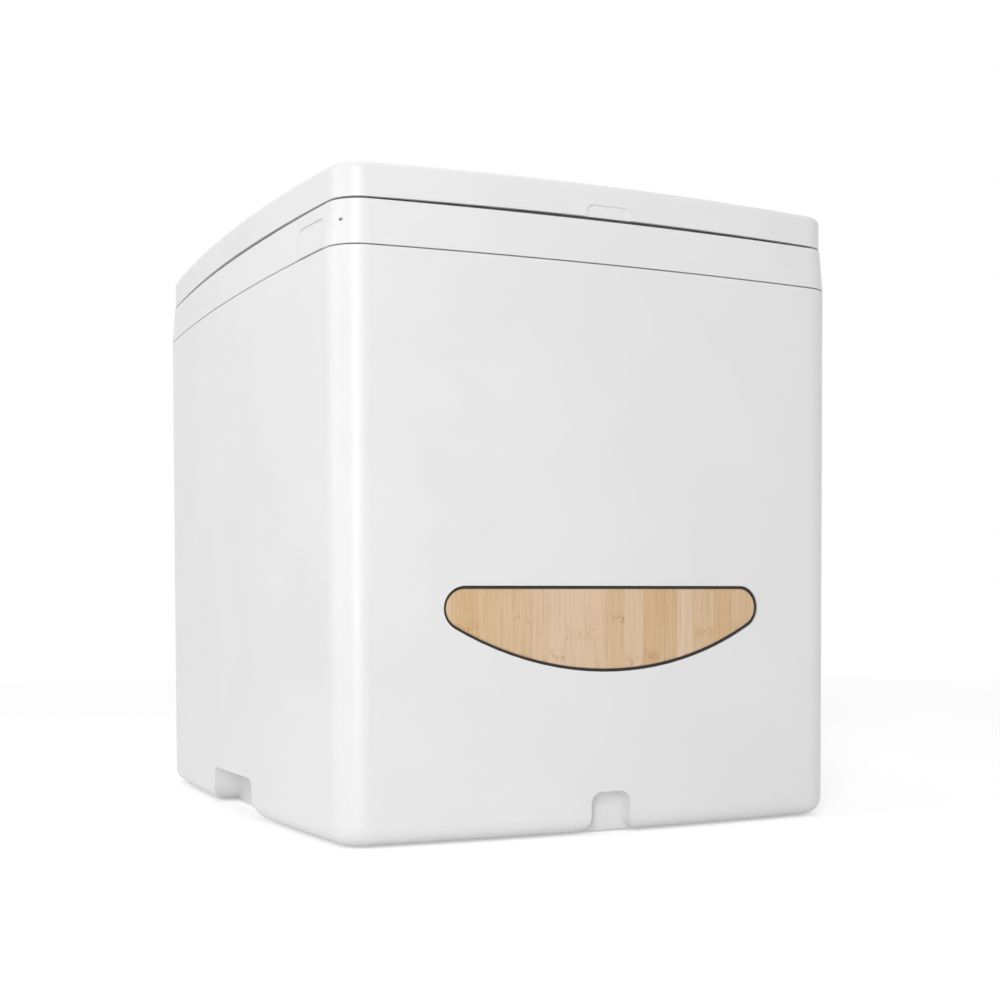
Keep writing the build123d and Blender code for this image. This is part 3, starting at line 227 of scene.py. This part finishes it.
def polished_grey_abs(settings):
    """ABS moulded in a polished tool: the bowl and seat wipe clean, with sharp, bright reflections."""
    material, tree, shader, place = start("polished_grey_abs", IOR=1.54)
    patches = mottle(tree, place, 70 * MM)
    faded = tuple(0.96 * share for share in settings.bowl)
    tree.links.new(
        mixed(tree, spread(tree, patches, 0.35, 0.65), settings.bowl, faded), shader.inputs["Base Color"]
    )
    rough = spread(tree, mottle(tree, place, 12 * MM), 0.3, 0.7, 0.14, 0.2)
    tree.links.new(rough, shader.inputs["Roughness"])
    bump(tree, shader, mottle(tree, place, 9 * MM), 0.03 * MM, 0.4)
    return material


def laminated_bamboo(settings):
    """Flat-pressed bamboo strips, oiled: upright fibres, each strip its own tone, with node marks."""
    strip_unevenness = 0.65
    node_spacing = 62 * MM
    node_reach = 6 * MM
    speck_size = 0.9 * MM
    patch_size = 5 * MM
    glue_width = 0.16 * MM
    material, tree, shader, place = start("laminated_bamboo", IOR=1.5)
    axes = add(tree, "ShaderNodeSeparateXYZ", links={"Vector": place}).outputs
    along = maths(tree, "DIVIDE", axes["X"], settings.strip)
    cells = []
    for feature in ("F1", "DISTANCE_TO_EDGE"):
        cells.append(
            add(
                tree,
                "ShaderNodeTexVoronoi",
                {"Scale": 1.0, "Randomness": strip_unevenness},
                {"W": along},
                voronoi_dimensions="1D",
                feature=feature,
            ).outputs
        )
    tone = add(tree, "ShaderNodeSeparateColor", links={"Color": cells[0]["Color"]}).outputs
    edge = cells[1]["Distance"]
    base = mixed(tree, tone["Red"], settings.pale, settings.honey)

    fibre = mottle(tree, place, settings.fibre, 4.0, (1, 40, 40))
    broad = mottle(tree, place, settings.fibre * 6, 3.0, (1, 14, 14))
    grain = maths(tree, "ADD", maths(tree, "MULTIPLY", fibre, 0.6), maths(tree, "MULTIPLY", broad, 0.4))
    darker = tuple(share * 0.72 for share in settings.honey)
    streaked = mixed(tree, spread(tree, grain, 0.5, 0.72, 0.0, 0.6), base, darker)
    lighter = tuple(min(1.0, share * 1.08) for share in settings.pale)
    streaked = mixed(tree, spread(tree, grain, 0.47, 0.3, 0.0, 0.5), streaked, lighter)

    turn = maths(tree, "ADD", maths(tree, "DIVIDE", axes["Z"], node_spacing), tone["Green"])
    apart = maths(tree, "ABSOLUTE", maths(tree, "SUBTRACT", maths(tree, "FRACT", turn), 0.5))
    near = spread(tree, apart, 0.0, node_reach / node_spacing, 1.0, 0.0)
    speck = spread(tree, mottle(tree, place, speck_size, 2.0, (1, 1, 3.2)), 0.46, 0.6)
    patch = spread(tree, mottle(tree, place, patch_size, 1.0), 0.42, 0.58)
    spotted = maths(tree, "MULTIPLY", speck, patch)
    mark = maths(tree, "MULTIPLY", maths(tree, "MULTIPLY", near, spotted), 0.75)
    marked = mixed(tree, mark, streaked, settings.mark)

    glue = spread(tree, edge, 0.0, glue_width / settings.strip, 1.0, 0.0)
    glued = mixed(tree, maths(tree, "MULTIPLY", glue, tone["Blue"]), marked, settings.joint)
    tree.links.new(glued, shader.inputs["Base Color"])
    tree.links.new(spread(tree, grain, 0.3, 0.7, 0.38, 0.5), shader.inputs["Roughness"])
    bump(tree, shader, grain, 0.05 * MM, 0.5)
    return material


def dark_rubber_and_painted_gap_shade(settings):
    """EPDM rubber: nearly black brown, matt, with a faint bloom that greys it in patches. On the inlay's
    gasket the near-black is also painted shade for the deep gap round the inlay.
    """
    material, tree, shader, place = start("epdm_rubber_and_painted_gap_shade", IOR=1.52)
    bloom = tuple(share + 0.02 for share in settings.rubber)
    patches = spread(tree, mottle(tree, place, 8 * MM, 4.0), 0.4, 0.7)
    tree.links.new(mixed(tree, patches, settings.rubber, bloom), shader.inputs["Base Color"])
    tree.links.new(spread(tree, patches, 0.0, 1.0, 0.6, 0.78), shader.inputs["Roughness"])
    bump(tree, shader, mottle(tree, place, 0.6 * MM, 3.0), 0.03 * MM, 0.6)
    return material


def silicone_seal(settings):
    """Silicone rubber: soft grey, matt and slightly dusty."""
    material, tree, shader, place = start("moulded_silicone", IOR=1.41)
    dust = tuple(share * 1.12 for share in settings.seal)
    patches = spread(tree, mottle(tree, place, 15 * MM, 5.0), 0.4, 0.7)
    tree.links.new(mixed(tree, patches, settings.seal, dust), shader.inputs["Base Color"])
    tree.links.new(spread(tree, patches, 0.0, 1.0, 0.5, 0.66), shader.inputs["Roughness"])
    bump(tree, shader, mottle(tree, place, 0.8 * MM, 2.0), 0.02 * MM, 0.5)
    return material


def blow_moulded_hdpe(settings):
    """Natural HDPE, blow moulded: milky, waxy and gently uneven."""
    material, tree, shader, place = start("blow_moulded_hdpe", IOR=1.54)
    shader.inputs["Subsurface Weight"].default_value = 0.2
    shader.inputs["Subsurface Scale"].default_value = 0.004
    cloud = spread(tree, mottle(tree, place, 45 * MM, 3.0), 0.35, 0.65)
    milk = tuple(share * 0.94 for share in settings.tank)
    tree.links.new(mixed(tree, cloud, settings.tank, milk), shader.inputs["Base Color"])
    tree.links.new(spread(tree, cloud, 0.0, 1.0, 0.36, 0.48), shader.inputs["Roughness"])
    bump(tree, shader, mottle(tree, place, 14 * MM, 3.0), 0.12 * MM, 0.5)
    return material


def textured_pp(name, colour, grain):
    """Polypropylene from a textured tool: an even matt with a fine leathery grain."""
    material, tree, shader, place = start(name, IOR=1.49)
    patches = spread(tree, mottle(tree, place, 35 * MM), 0.35, 0.65)
    other = tuple(share * 0.9 for share in colour)
    tree.links.new(mixed(tree, patches, colour, other), shader.inputs["Base Color"])
    tree.links.new(spread(tree, patches, 0.0, 1.0, 0.44, 0.54), shader.inputs["Roughness"])
    bump(tree, shader, mottle(tree, place, grain, 2.0), 0.05 * MM, 0.5)
    return material


def carbon_felt():
    """Needled felt filled with active carbon: black, fuzzy and fully matt."""
    material, tree, shader, place = start("needled_carbon_felt", IOR=1.45, Roughness=0.95)
    shader.inputs["Sheen Weight"].default_value = 0.3
    strands = mottle(tree, place, 0.7 * MM, 6.0, (1, 1, 5))
    tree.links.new(
        mixed(tree, spread(tree, strands, 0.3, 0.7), linear("17171A"), linear("36363A")),
        shader.inputs["Base Color"],
    )
    bump(tree, shader, strands, 0.3 * MM, 0.8)
    return material


def brushed_stainless():
    """Stainless steel strip, brushed along its length: bright with fine level scratches."""
    material, tree, shader, place = start("brushed_stainless", Metallic=1.0)
    scratch = mottle(tree, place, 0.25 * MM, 3.0, (60, 1, 1))
    tree.links.new(
        mixed(tree, spread(tree, scratch, 0.3, 0.7), linear("C4C5C8"), linear("ABADB0")),
        shader.inputs["Base Color"],
    )
    tree.links.new(spread(tree, scratch, 0.3, 0.7, 0.22, 0.36), shader.inputs["Roughness"])
    bump(tree, shader, scratch, 0.01 * MM, 0.4)
    return material


def finish_nodes(material, slot, *names):
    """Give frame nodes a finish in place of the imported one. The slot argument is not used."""
    for name in names:
        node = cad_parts[name]
        node.data.materials.clear()
        node.data.materials.append(material)


def new_piece(name, mesh, material, body):
    """Add a finished mesh to the scene as a piece that moves with a body."""
    piece = bpy.data.objects.new(name, mesh)
    bpy.context.scene.collection.objects.link(piece)
    mesh.materials.append(material)
    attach(piece, body)
    return piece


class SmileOutline:
    """The inlay's outline: level top, round tips and an arc below, drawn in by an inset."""

    def __init__(self, low, high, arc_radius, tip_radius):
        self.arc_radius = arc_radius
        self.arc_z = low.z + arc_radius
        self.tip_radius = tip_radius
        self.tip_z = high.z - tip_radius
        reach = arc_radius - tip_radius
        self.tip_x = math.sqrt(reach**2 - (self.arc_z - self.tip_z) ** 2)
        self.turn = self.tip_x / reach

    def span(self, share, inset):
        """The point across at a share from -1 to 1 of the half width, with its lower and upper ends."""
        radius = self.tip_radius - inset
        x = share * (self.tip_x + radius)
        beyond = max(abs(x) - self.tip_x, 0.0)
        rise = math.sqrt(max(radius**2 - beyond**2, 0.0))
        upper = self.tip_z + rise
        if abs(x) > self.tip_x + radius * self.turn:
            lower = self.tip_z - rise
        else:
            lower = self.arc_z - math.sqrt((self.arc_radius - inset) ** 2 - x**2)
        return x, lower, upper


def front_of(name):
    """Give a function for the front face of a frame node: the y at a given x and z."""
    approach = 10 * MM
    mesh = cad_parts[name].data
    tree = BVHTree.FromPolygons([v.co for v in mesh.vertices], [p.vertices for p in mesh.polygons])
    start_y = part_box(name)[0].y - approach

    def front(x, z):
        hit = tree.ray_cast(Vector((x, start_y, z)), Vector((0, 1, 0)))[0]
        if hit is None:
            raise RuntimeError(f"no front face of {name} at {x:.4f}, {z:.4f}")
        return hit.y

    return front


def bamboo_mesh(outline, front, back_y, edge):
    """Build the panel: a front that follows the housing's bow, a sanded edge and a flat back."""
    columns = 96
    rows = 6
    edge_steps = 5
    mesh = bmesh.new()
    # The front face is only sought this far in from the outline, where it is sure to be met.
    inside = 0.3 * MM

    def ring(inset, sink):
        """The points round the outline at an inset: an upper row and a lower row, column by column."""
        upper, lower = [], []
        for i in range(columns + 1):
            share = -math.cos(math.pi * i / columns)
            x, low, high = outline.span(share, inset)
            safe_x, safe_low, safe_high = outline.span(share, max(inset, inside))
            middle = (safe_low + safe_high) / 2
            upper.append(mesh.verts.new((x, front(safe_x, safe_high) + sink, high)))
            if 0 < i < columns:
                lower.append(mesh.verts.new((x, front(safe_x, min(safe_low, middle)) + sink, low)))
        return upper, lower

    rings = []
    for step in range(edge_steps + 1):
        angle = math.pi / 2 * step / edge_steps
        rings.append(ring(edge * (1 - math.sin(angle)), edge * (1 - math.cos(angle))))
    rings.reverse()

    loops = [upper + lower[::-1] for upper, lower in rings]
    back = [mesh.verts.new((v.co.x, back_y, v.co.z)) for v in loops[0]]
    loops.insert(0, back)
    count = len(back)
    for outer, inner in zip(loops, loops[1:]):
        for i in range(count):
            j = (i + 1) % count
            mesh.faces.new((outer[i], outer[j], inner[j], inner[i]))
    mesh.faces.new(back)

    upper, lower = rings[-1]
    across = []
    for i in range(1, columns):
        top, bottom = upper[i], lower[i - 1]
        line = [bottom]
        for row in range(1, rows):
            z = bottom.co.z + (top.co.z - bottom.co.z) * row / rows
            line.append(mesh.verts.new((top.co.x, front(top.co.x, z), z)))
        line.append(top)
        across.append(line)
    for left, right in zip(across, across[1:]):
        for row in range(rows):
            mesh.faces.new((left[row], right[row], right[row + 1], left[row + 1]))
    for tip, line in ((upper[0], across[0]), (upper[-1], across[-1])):
        for row in range(rows):
            mesh.faces.new((tip, line[row], line[row + 1]))
    bmesh.ops.recalc_face_normals(mesh, faces=mesh.faces)
    for face in mesh.faces:
        face.smooth = True
    made = bpy.data.meshes.new("bamboo_inlay")
    mesh.to_mesh(made)
    mesh.free()
    return made


def felt_mesh(low, high, edge, fuzz):
    """Build a needled pad inside a box: rounded edges and faces that dip with the needling."""
    tuft = 2.5 * MM
    cuts = 24
    mesh = bmesh.new()
    bmesh.ops.create_cube(mesh, size=1.0)
    size = high - low
    centre = (low + high) / 2
    for vert in mesh.verts:
        vert.co = Vector(c + v * s for c, v, s in zip(centre, vert.co, size))
    bmesh.ops.bevel(mesh, geom=list(mesh.edges), offset=edge, segments=3, profile=0.5, affect="EDGES")
    long_edges = [e for e in mesh.edges if e.calc_length() > 3 * edge]
    bmesh.ops.subdivide_edges(mesh, edges=long_edges, cuts=cuts, use_grid_fill=True)
    bmesh.ops.recalc_face_normals(mesh, faces=mesh.faces)
    mesh.normal_update()
    for vert in mesh.verts:
        dip = 0.5 + 0.5 * noise.fractal(vert.co / tuft, 0.6, 2.0, 4)
        vert.co -= vert.normal * fuzz * min(max(dip, 0.0), 1.0)
    for face in mesh.faces:
        face.smooth = True
    made = bpy.data.meshes.new("felt_pad")
    mesh.to_mesh(made)
    mesh.free()
    return made


def cross_screw(mesh, centre, head_radius, head_depth, shank_radius, length):
    """Add a flat-head screw with a cross recess, its axis along Y and its head towards +Y."""
    sides = 32
    rim = 0.3 * MM
    arm = 0.52 * MM
    reach = 1.9 * MM
    sink = 1.0 * MM
    hub_sink = 1.15 * sink
    taper = 0.7
    cross_turn = 0.07

    def loop(radius, back):
        """A round of points at a radius, that far behind the head's face."""
        points = []
        for i in range(sides):
            angle = math.tau * i / sides
            offset = Vector((radius * math.cos(angle), -back, radius * math.sin(angle)))
            points.append(mesh.verts.new(centre + offset))
        return points

    def cross(scale, back):
        """The twelve corners of the recess at a scale, that far behind the head's face."""
        corners = [(reach, -arm), (reach, arm), (arm, arm)]
        points = []
        for quarter in range(4):
            turn = Matrix.Rotation(math.tau * (quarter / 4 + cross_turn), 2)
            for corner in corners:
                x, z = turn @ Vector(corner) * scale
                points.append(mesh.verts.new(centre + Vector((x, -back, z))))
        return points

    def wall(outer, inner):
        """Join two rounds of as many points with a band of faces."""
        count = len(outer)
        for i in range(count):
            j = (i + 1) % count
            mesh.faces.new((outer[i], outer[j], inner[j], inner[i]))

    def edges_of(points):
        """Close a round of points with edges."""
        return [mesh.edges.new((a, b)) for a, b in zip(points, points[1:] + points[:1])]

    top = loop(head_radius - rim, 0)
    mouth = cross(1, 0)
    bmesh.ops.triangle_fill(mesh, use_beauty=True, edges=edges_of(top) + edges_of(mouth))
    floor = cross(taper, sink)
    wall(mouth, floor)
    hub = mesh.verts.new(centre - Vector((0, hub_sink, 0)))
    for a, b in zip(floor, floor[1:] + floor[:1]):
        mesh.faces.new((a, b, hub))
    stages = [top, loop(head_radius, rim), loop(head_radius, head_depth), loop(shank_radius, head_depth)]
    stages.append(loop(shank_radius, length))
    for outer, inner in zip(stages, stages[1:]):
        wall(outer, inner)
    mesh.faces.new(stages[-1])


def screw_mesh(name, node, spacing):
    """Build the four screws of a frame node in the places that its box gives."""
    head_depth = 1.4 * MM
    shank_radius = 1.6 * MM
    low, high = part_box(node)
    radius = (high.z - low.z) / 2
    places = []
    for end in (low.x + radius, high.x - radius - spacing):
        places += [end, end + spacing]
    mesh = bmesh.new()
    for x in places:
        centre = Vector((x, high.y, (low.z + high.z) / 2))
        cross_screw(mesh, centre, radius, head_depth, shank_radius, high.y - low.y)
    bmesh.ops.recalc_face_normals(mesh, faces=mesh.faces)
    made = bpy.data.meshes.new(name)
    mesh.to_mesh(made)
    mesh.free()
    return made


class DressShell(bpy.types.Operator):
    """Give the white outer mouldings their satin finish"""

    bl_idname = "toilet.dress_shell"
    bl_label = "Dress Shell"

    def execute(self, context):
        finish_nodes(
            moulded_white_abs(context.scene.toilet_shell),
            "white_shell",
            "outer_body",
            "top_frame",
            "latch_left",
            "latch_right",
            "lid_shell",
            "lid_liner",
            "lid_posts",
            "filter_cover",
        )
        return {"FINISHED"}


class LayBambooInlay(bpy.types.Operator):
    """Build the bamboo inlay and seat it in its gasket"""

    bl_idname = "toilet.lay_bamboo_inlay"
    bl_label = "Lay Bamboo Inlay"

    def execute(self, context):
        arc_radius = 228 * MM
        tip_radius = 13 * MM
        back_gap = 0.2 * MM
        settings = context.scene.toilet_bamboo
        low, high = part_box("bamboo_panel")
        outline = SmileOutline(low, high, arc_radius, tip_radius)
        mesh = bamboo_mesh(outline, front_of("bamboo_panel"), high.y - back_gap, settings.edge)
        piece = new_piece("bamboo_inlay", mesh, laminated_bamboo(settings), "housing")
        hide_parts("bamboo_panel")
        return {"FINISHED"}


class DressInside(bpy.types.Operator):
    """Give the seat, the bowl, the containers and the seals their finishes"""

    bl_idname = "toilet.dress_inside"
    bl_label = "Dress Inside"

    def execute(self, context):
        settings = context.scene.toilet_inside
        polished = polished_grey_abs(settings)
        finish_nodes(polished, "grey_bowl", "bowl", "seat")
        seals = ("frame_seal", "lid_seal", "bowl_gasket", "drain_seal", "cap_seal", "lid_bumpers")
        finish_nodes(silicone_seal(settings), "grey_rubber", *seals)
        # The feet are real dark rubber. The gasket is rubber too, and its near-black also paints the shade
        # deep in the gap round the inlay.
        finish_nodes(dark_rubber_and_painted_gap_shade(settings), "dark_rubber", "panel_gasket", "feet")
        finish_nodes(blow_moulded_hdpe(settings), "tank_plastic", "liquid_tank")
        finish_nodes(textured_pp("textured_grey_pp", settings.bin, 1.4 * MM), "bin_plastic", "solids_bin")
        dark = textured_pp("textured_dark_pp", settings.dark, 0.8 * MM)
        finish_nodes(dark, "dark_plastic", "tank_cap", "bag_ring", "fan_frame", "fan_rotor", "power_inlet")
        return {"FINISHED"}


class PackFilter(bpy.types.Operator):
    """Build the needled carbon filter behind its cover"""

    bl_idname = "toilet.pack_filter"
    bl_label = "Pack Filter"

    def execute(self, context):
        edge_radius = 1.0 * MM
        fuzz_depth = 0.35 * MM
        low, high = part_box("carbon_filter")
        mesh = felt_mesh(low, high, edge_radius, fuzz_depth)
        piece = new_piece("carbon_filter_felt", mesh, carbon_felt(), "cover")
        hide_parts("carbon_filter")
        return {"FINISHED"}


class DressHardware(bpy.types.Operator):
    """Give the hinges, the pins and the screws their steel"""

    bl_idname = "toilet.dress_hardware"
    bl_label = "Dress Hardware"

    def execute(self, context):
        steel = brushed_stainless()
        leaves = [f"hinge_leaf_{row}_{side}" for row in ("lower", "upper") for side in ("left", "right")]
        finish_nodes(steel, "steel", *leaves, "frame_hinge_pins", "latch_pins", "lid_pins")
        screw_spacing = 28 * MM
        for row, body in (("lower", "housing"), ("upper", "frame")):
            node = f"hinge_screws_{row}"
            mesh = screw_mesh(f"cross_screws_{row}", node, screw_spacing)
            piece = new_piece(f"cross_screws_{row}", mesh, steel, body)
            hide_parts(node)
        return {"FINISHED"}


def softbox(name, place, target, width, height, power):
    """Add a flat lamp of that width and height, pointed at a place."""
    data = bpy.data.lights.new(name, "AREA")
    data.shape = "RECTANGLE"
    data.size = width
    data.size_y = height
    data.energy = power
    lamp = bpy.data.objects.new(name, data)
    lamp.location = place
    lamp.rotation_euler = (Vector(target) - lamp.location).to_track_quat("-Z", "Y").to_euler()
    bpy.context.scene.collection.objects.link(lamp)


def seen_directly(tree):
    """1 for rays from the camera, from gloss and from glass, and 0 for light that bounces."""
    path = add(tree, "ShaderNodeLightPath").outputs
    glossy = maths(tree, "MAXIMUM", path["Is Glossy Ray"], path["Is Transmission Ray"])
    return maths(tree, "MAXIMUM", path["Is Camera Ray"], glossy)


def floor_finish():
    """A pale painted floor that fades into the white backdrop and keeps the shadow near the object."""
    fade_start = 0.9
    fade_end = 2.2
    near_glow = 0.42
    material = bpy.data.materials.new("pale_painted_floor")
    material.use_nodes = True
    tree = material.node_tree
    tree.nodes.clear()
    place = add(tree, "ShaderNodeTexCoord").outputs["Object"]
    apart = add(tree, "ShaderNodeVectorMath", links={0: place}, operation="LENGTH").outputs["Value"]
    far = spread(tree, apart, fade_start, fade_end)
    paint = add(tree, "ShaderNodeBsdfDiffuse", {"Color": rgba(linear("EDEDED"))})
    glow = add(
        tree,
        "ShaderNodeEmission",
        {"Color": (1, 1, 1, 1)},
        {"Strength": maths(tree, "MULTIPLY", seen_directly(tree), near_glow)},
    )
    near = add(tree, "ShaderNodeAddShader", links={0: paint.outputs[0], 1: glow.outputs[0]})
    white = add(tree, "ShaderNodeEmission", {"Color": (1, 1, 1, 1), "Strength": 1.0})
    far_white = add(
        tree,
        "ShaderNodeMixShader",
        links={0: seen_directly(tree), 1: paint.outputs[0], 2: white.outputs[0]},
    )
    surface = add(
        tree, "ShaderNodeMixShader", links={0: far, 1: near.outputs[0], 2: far_white.outputs[0]}
    )
    add(tree, "ShaderNodeOutputMaterial", links={"Surface": surface.outputs[0]})
    return material


class SetStage(bpy.types.Operator):
    """Add the floor, the backdrop, the lamps and the camera"""

    bl_idname = "toilet.set_stage"
    bl_label = "Set Stage"

    def execute(self, context):
        floor_radius = 6.0
        settings = context.scene.toilet_stage
        mesh = bmesh.new()
        bmesh.ops.create_circle(mesh, cap_ends=True, segments=96, radius=floor_radius)
        made = bpy.data.meshes.new("floor")
        mesh.to_mesh(made)
        mesh.free()
        floor = bpy.data.objects.new("floor", made)
        made.materials.append(floor_finish())
        context.scene.collection.objects.link(floor)

        middle = (0.0, 0.0, 0.22)
        softbox("strip", (-1.5, -2.3, 0.7), middle, 0.5, 1.9, settings.strip)
        softbox("side", (-2.7, 0.4, 0.9), middle, 1.6, 1.6, settings.side)
        softbox("top", (0.0, 0.1, 2.3), middle, 1.8, 1.8, settings.top)

        world = bpy.data.worlds.new("white_room")
        world.use_nodes = True
        tree = world.node_tree
        tree.nodes.clear()
        room = add(tree, "ShaderNodeBackground", {"Color": (1, 1, 1, 1), "Strength": settings.room})
        white = add(tree, "ShaderNodeBackground", {"Color": (1, 1, 1, 1), "Strength": 1.0})
        mix = add(
            tree,
            "ShaderNodeMixShader",
            links={0: seen_directly(tree), 1: room.outputs[0], 2: white.outputs[0]},
        )
        add(tree, "ShaderNodeOutputWorld", links={"Surface": mix.outputs[0]})
        context.scene.world = world

        # The camera's place in metres and its turns in degrees, both fitted to the photo's edges.
        stand = (-0.52055, -1.15984, 0.15837)
        turn, raise_by, roll = -25.28, 89.758, -0.166
        data = bpy.data.cameras.new("camera")
        data.lens = 56.57
        data.sensor_width = 36
        data.shift_y = 0.107
        data.clip_start = 0.01
        camera = bpy.data.objects.new("camera", data)
        turned = Matrix.Rotation(math.radians(turn), 4, "Z")
        raised = Matrix.Rotation(math.radians(raise_by), 4, "X")
        rolled = Matrix.Rotation(math.radians(roll), 4, "Z")
        camera.matrix_world = Matrix.Translation(stand) @ turned @ raised @ rolled
        context.scene.collection.objects.link(camera)
        context.scene.camera = camera
        context.scene.view_settings.view_transform = "Standard"
        return {"FINISHED"}


OPERATORS = (DressShell, LayBambooInlay, DressInside, PackFilter, DressHardware, SetStage)
SETTINGS = {
    "toilet_shell": ShellSettings,
    "toilet_bamboo": BambooSettings,
    "toilet_inside": InsideSettings,
    "toilet_stage": StageSettings,
}


class ToiletPanel(bpy.types.Panel):
    """Lists the steps in the order that they run"""

    bl_idname = "VIEW3D_PT_toilet"
    bl_label = "Dry Toilet"
    bl_space_type = "VIEW_3D"
    bl_region_type = "UI"
    bl_category = "Toilet"

    def draw(self, context):
        for group in SETTINGS:
            box = self.layout.box()
            settings = getattr(context.scene, group)
            for name in settings.bl_rna.properties.keys():
                if name not in ("name", "rna_type"):
                    box.prop(settings, name)
        for operator in OPERATORS:
            self.layout.operator(operator.bl_idname)


def register():
    """Add the settings, the operators and the panel to Blender."""
    for cls in (*SETTINGS.values(), *OPERATORS, ToiletPanel):
        bpy.utils.register_class(cls)
    for name, group in SETTINGS.items():
        setattr(bpy.types.Scene, name, bpy.props.PointerProperty(type=group))


def unregister():
    """Take them out again, in the other order."""
    for name in SETTINGS:
        delattr(bpy.types.Scene, name)
    for cls in (ToiletPanel, *reversed(OPERATORS), *reversed(SETTINGS.values())):
        bpy.utils.unregister_class(cls)


def main():
    """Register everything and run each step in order."""
    register()
    bpy.ops.toilet.dress_shell()
    bpy.ops.toilet.lay_bamboo_inlay()
    bpy.ops.toilet.dress_inside()
    bpy.ops.toilet.pack_filter()
    bpy.ops.toilet.dress_hardware()
    bpy.ops.toilet.set_stage()


if __name__ == "__main__":
    main()
